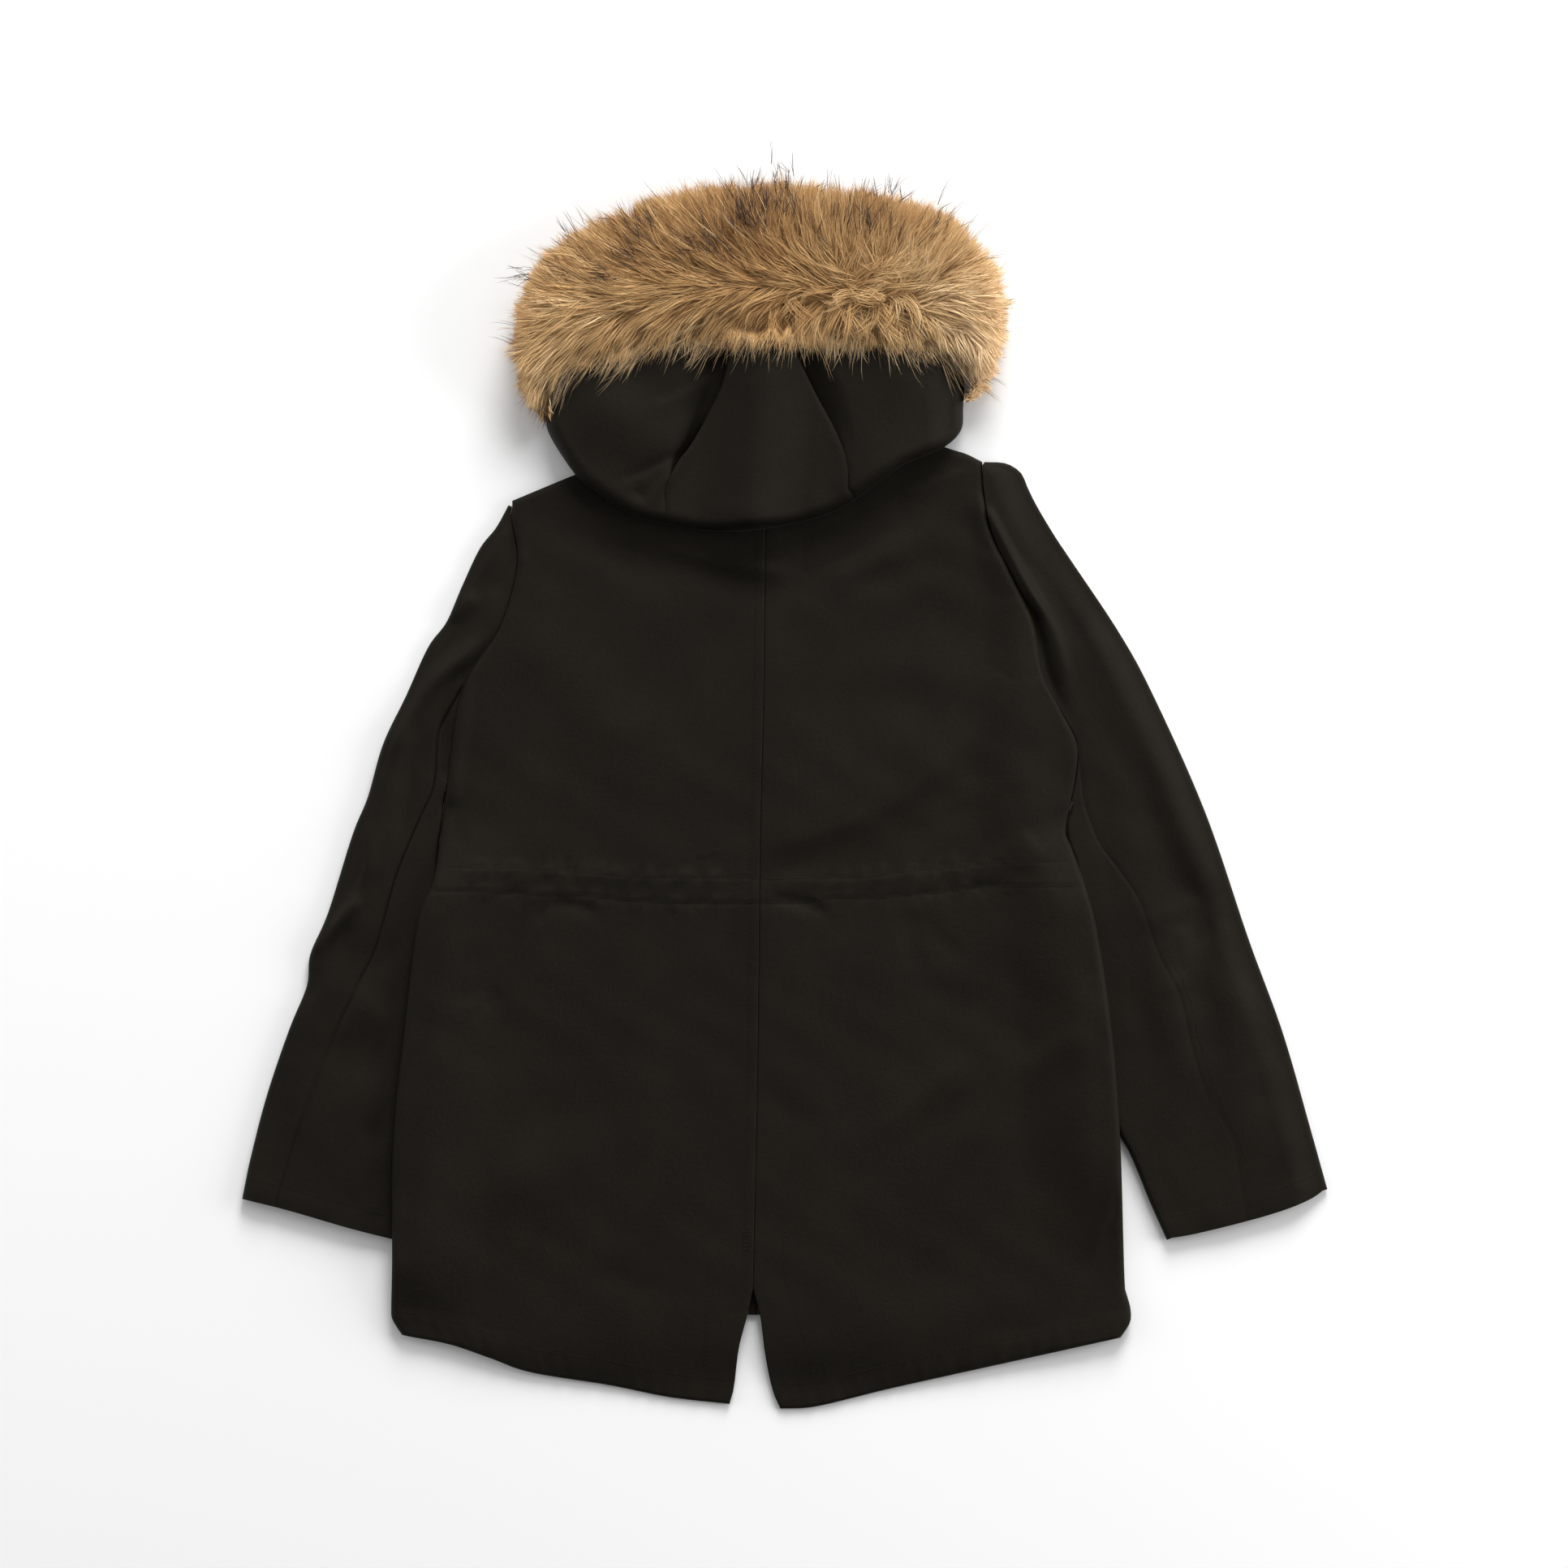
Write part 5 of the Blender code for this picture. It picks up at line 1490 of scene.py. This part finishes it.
def furMaterial(name, tones, alongHair, roughness):
    made, tree, shader = newMaterial(
        name, {"Roughness": roughness, "Specular IOR Level": 0.12}
    )
    uv = tree.nodes.new("ShaderNodeUVMap")
    uv.uv_map = "strandMap"
    split = tree.nodes.new("ShaderNodeSeparateXYZ")
    tree.links.new(uv.outputs["UV"], split.inputs["Vector"])
    mix = tree.nodes.new("ShaderNodeMix")
    mix.data_type, mix.blend_type = "RGBA", "MULTIPLY"
    mix.inputs["Factor"].default_value = 1.0
    tree.links.new(ramp(tree, split.outputs["X"], tones), mix.inputs[6])
    tree.links.new(ramp(tree, split.outputs["Y"], alongHair), mix.inputs[7])
    tree.links.new(mix.outputs[2], shader.inputs["Base Color"])
    return made


tanHair = furMaterial(
    "tanHair",
    [(0.0, (0.18, 0.085, 0.034, 1)), (0.3, (0.36, 0.19, 0.076, 1)),
     (0.6, (0.55, 0.33, 0.14, 1)), (0.85, (0.70, 0.48, 0.24, 1)),
     (1.0, (1.0, 0.76, 0.47, 1))],
    [(0.0, (0.80, 0.73, 0.64, 1)), (0.35, (0.94, 0.91, 0.87, 1)), (0.9, (1, 1, 1, 1))],
    0.65,
)
darkHair = furMaterial(
    "darkGuardHair",
    [(0.0, (0.020, 0.014, 0.016, 1)), (1.0, (0.11, 0.07, 0.05, 1))],
    [(0.0, (0.8, 0.6, 0.5, 1)), (0.5, (1, 1, 1, 1))],
    0.5,
)
paleHair = furMaterial(
    "paleHair",
    [(0.0, (0.30, 0.20, 0.10, 1)), (1.0, (0.58, 0.43, 0.25, 1))],
    [(0.0, (0.8, 0.8, 0.8, 1)), (1.0, (1, 1, 1, 1))],
    0.5,
)

# the pelt that carries the hair
arc = np.radians(np.linspace(0, 180, 25))
rings = []
for outer, inner, height in zip(furOuter[::2], furInner[::2], furHeight[::2]):
    middle, reach = (outer + inner) / 2, (outer - inner) / 2 * (fur["core"] + 0.03)
    ring = [
        (*(middle + reach * math.cos(a)), height * (0.10 + fur["core"] * math.sin(a) ** 0.8))
        for a in arc
    ]
    rings.append([(*(middle + reach * 0.9), 0.4)] + ring + [(*(middle - reach * 0.9), 0.4)])
rings = np.array(rings)
rows, cols = rings.shape[:2]
index = np.arange(rows * cols).reshape(rows, cols)
wrap = np.roll(index, -1, axis=1)
faces = np.stack([index[:-1], wrap[:-1], wrap[1:], index[1:]], -1).reshape(-1, 4).tolist()
faces += [index[0, ::-1].tolist(), index[-1].tolist()]
mesh = newMesh("furPelt", rings.reshape(-1, 3), faces)
peltCloth = cottonMaterial("furPeltBacking", {
    **clothLook, "dark": (0.24, 0.13, 0.052, 1), "middle": (0.34, 0.19, 0.078, 1),
    "light": (0.44, 0.26, 0.11, 1), "sheen": 0.0, "roughness": (0.9, 1.0),
})
pelt = linkObject("furPelt", mesh, peltCloth)
register(pelt, "fur_ruff")


def growLocks(name, locks, perLock, length, width, **roots):
    paths = lockPaths(locks, length, **roots)
    hairs, owner = hairsOfLocks(paths, perLock, fur["lockRadius"], fur["gather"])
    middle = paths[:, fur["pathSteps"] // 2]
    tone = furToneAndLightAt(middle[:, 0], middle[:, 1]) + rng.normal(0, 0.05, len(paths))
    tone = tone[owner] + rng.normal(0, 0.08, len(owner))
    strandMesh(name, hairs, rng.uniform(*width, len(owner)), tone, tanHair)


growLocks("furUnderCoat", fur["underLocks"], 22, (20, 34), (0.8, 1.3), core=0.6)
for k in range(3):
    growLocks(
        f"furLongHair{k + 1}", fur["topLocks"] // 3, fur["hairsPerLock"], fur["length"],
        fur["hairWidth"],
    )

# dark guard hairs stand in clusters and stray past the outline
roots = np.vstack([
    np.column_stack([rng.normal(x, reach * 0.8, count), rng.normal(y, reach * 0.8, count)])
    for x, y, reach, count in guardClusters
])
away = ((roots[:, None] - furMiddle[None]) ** 2).sum(-1)
nearest = away.argmin(axis=1)
cross = np.sqrt(away.min(axis=1)) / np.linalg.norm(furReach[nearest], axis=1)
heights = furHeight[nearest] * np.sqrt(np.clip(1 - cross**2, 0.1, 1)) * 0.93
upward = np.tile([0.0, 0.0, 1.0], (len(roots), 1))
paths = growPaths(
    np.column_stack([roots, heights]), upward, rng.uniform(14, 28, len(roots)),
    rng.normal(0, 0.4, len(roots)), lean=0.25
)
hairs, owner = hairsOfLocks(paths, 2, 1.6, 0.5)
strandMesh(
    "furGuardHair", hairs, rng.uniform(0.35, 0.65, len(hairs)), rng.random(len(hairs)), darkHair
)

# sparse long wisps, dark and pale, over the hood's cloth and past the outline
for name, count, material, width, low, high, stray in (
    ("furDarkWisps", 320, darkHair, (0.35, 0.6), 150, 178, (2, 6)),
    ("furPaleWisps", 520, paleHair, (0.3, 0.55), 145, 178, (2.5, 6)),
    ("furStrayHair", 420, tanHair, (0.3, 0.45), 0, 80, (0, 4)),
    ("furDarkStrays", 90, darkHair, (0.3, 0.45), 0, 80, (4, 7)),
):
    paths = lockPaths(count, fur["wispLength"], low, high, stray, 0.8)
    paths = paths[(paths[:, 0, 0] < fur["wispEndX"]) | (high < 90)]
    hairs, owner = hairsOfLocks(paths, 2, 2.5, 0.3)
    strandMesh(name, hairs, rng.uniform(*width, len(hairs)), rng.random(len(hairs)), material)

print("floor, light and camera")
scene = bpy.context.scene
scene.view_settings.view_transform = "Standard"
light = {
    "skyStrength": 0.42,
    "skyLean": (0.15, 0.85),  # how much brighter the sky is to the right and the head
    "head": {"place": (0.9, 5.0, 2.6), "size": 3.0, "watts": 370},
    "left": {"place": (-3.0, 0.3, 1.0), "size": 2.0, "watts": 24},
    "right": {"place": (3.0, 0.3, 1.0), "size": 2.0, "watts": 66},
    "floor": (0.9, 0.9, 0.9, 1),
}
view = {"centre": (-0.0007, 0.0094), "height": 7.42, "lens": 200, "sensor": 36}

bpy.ops.mesh.primitive_plane_add(size=40)
floor = bpy.context.object
floor.name = "paleFloor"
floor.location.z = -0.0002
paint = newMaterial("paleFloorPaint", {"Base Color": light["floor"], "Roughness": 0.9})[0]
floor.data.materials.append(paint)

world = bpy.data.worlds.new("softStudio")
scene.world = world
world.use_nodes = True
tree = world.node_tree
background = tree.nodes["Background"]
background.inputs["Color"].default_value = (1, 1, 1, 1)
toward = tree.nodes.new("ShaderNodeSeparateXYZ")
tree.links.new(tree.nodes.new("ShaderNodeTexCoord").outputs["Generated"], toward.inputs[0])
right, ahead = light["skyLean"]
lean = weighted(tree, toward.outputs["X"], right, toward.outputs["Y"], ahead)
lean = mathNode(tree, "MULTIPLY", mathNode(tree, "ADD", lean, 1.0), light["skyStrength"])
tree.links.new(mathNode(tree, "MAXIMUM", lean, 0.01), background.inputs["Strength"])


def softbox(name, place, size, watts):
    data = bpy.data.lights.new(name, "AREA")
    data.shape = "DISK"
    data.size = size
    data.energy = watts
    lamp = linkObject(name, data)
    lamp.location = place
    lamp.rotation_euler = (-lamp.location.normalized()).to_track_quat("-Z", "Y").to_euler()


for name in ("head", "left", "right"):
    softbox(name + "Softbox", **light[name])

cameraData = bpy.data.cameras.new("camera")
cameraData.lens = view["lens"]
cameraData.sensor_width = view["sensor"]
cameraData.clip_end = 100
camera = linkObject("camera", cameraData)
camera.location = (*view["centre"], view["height"])
scene.camera = camera
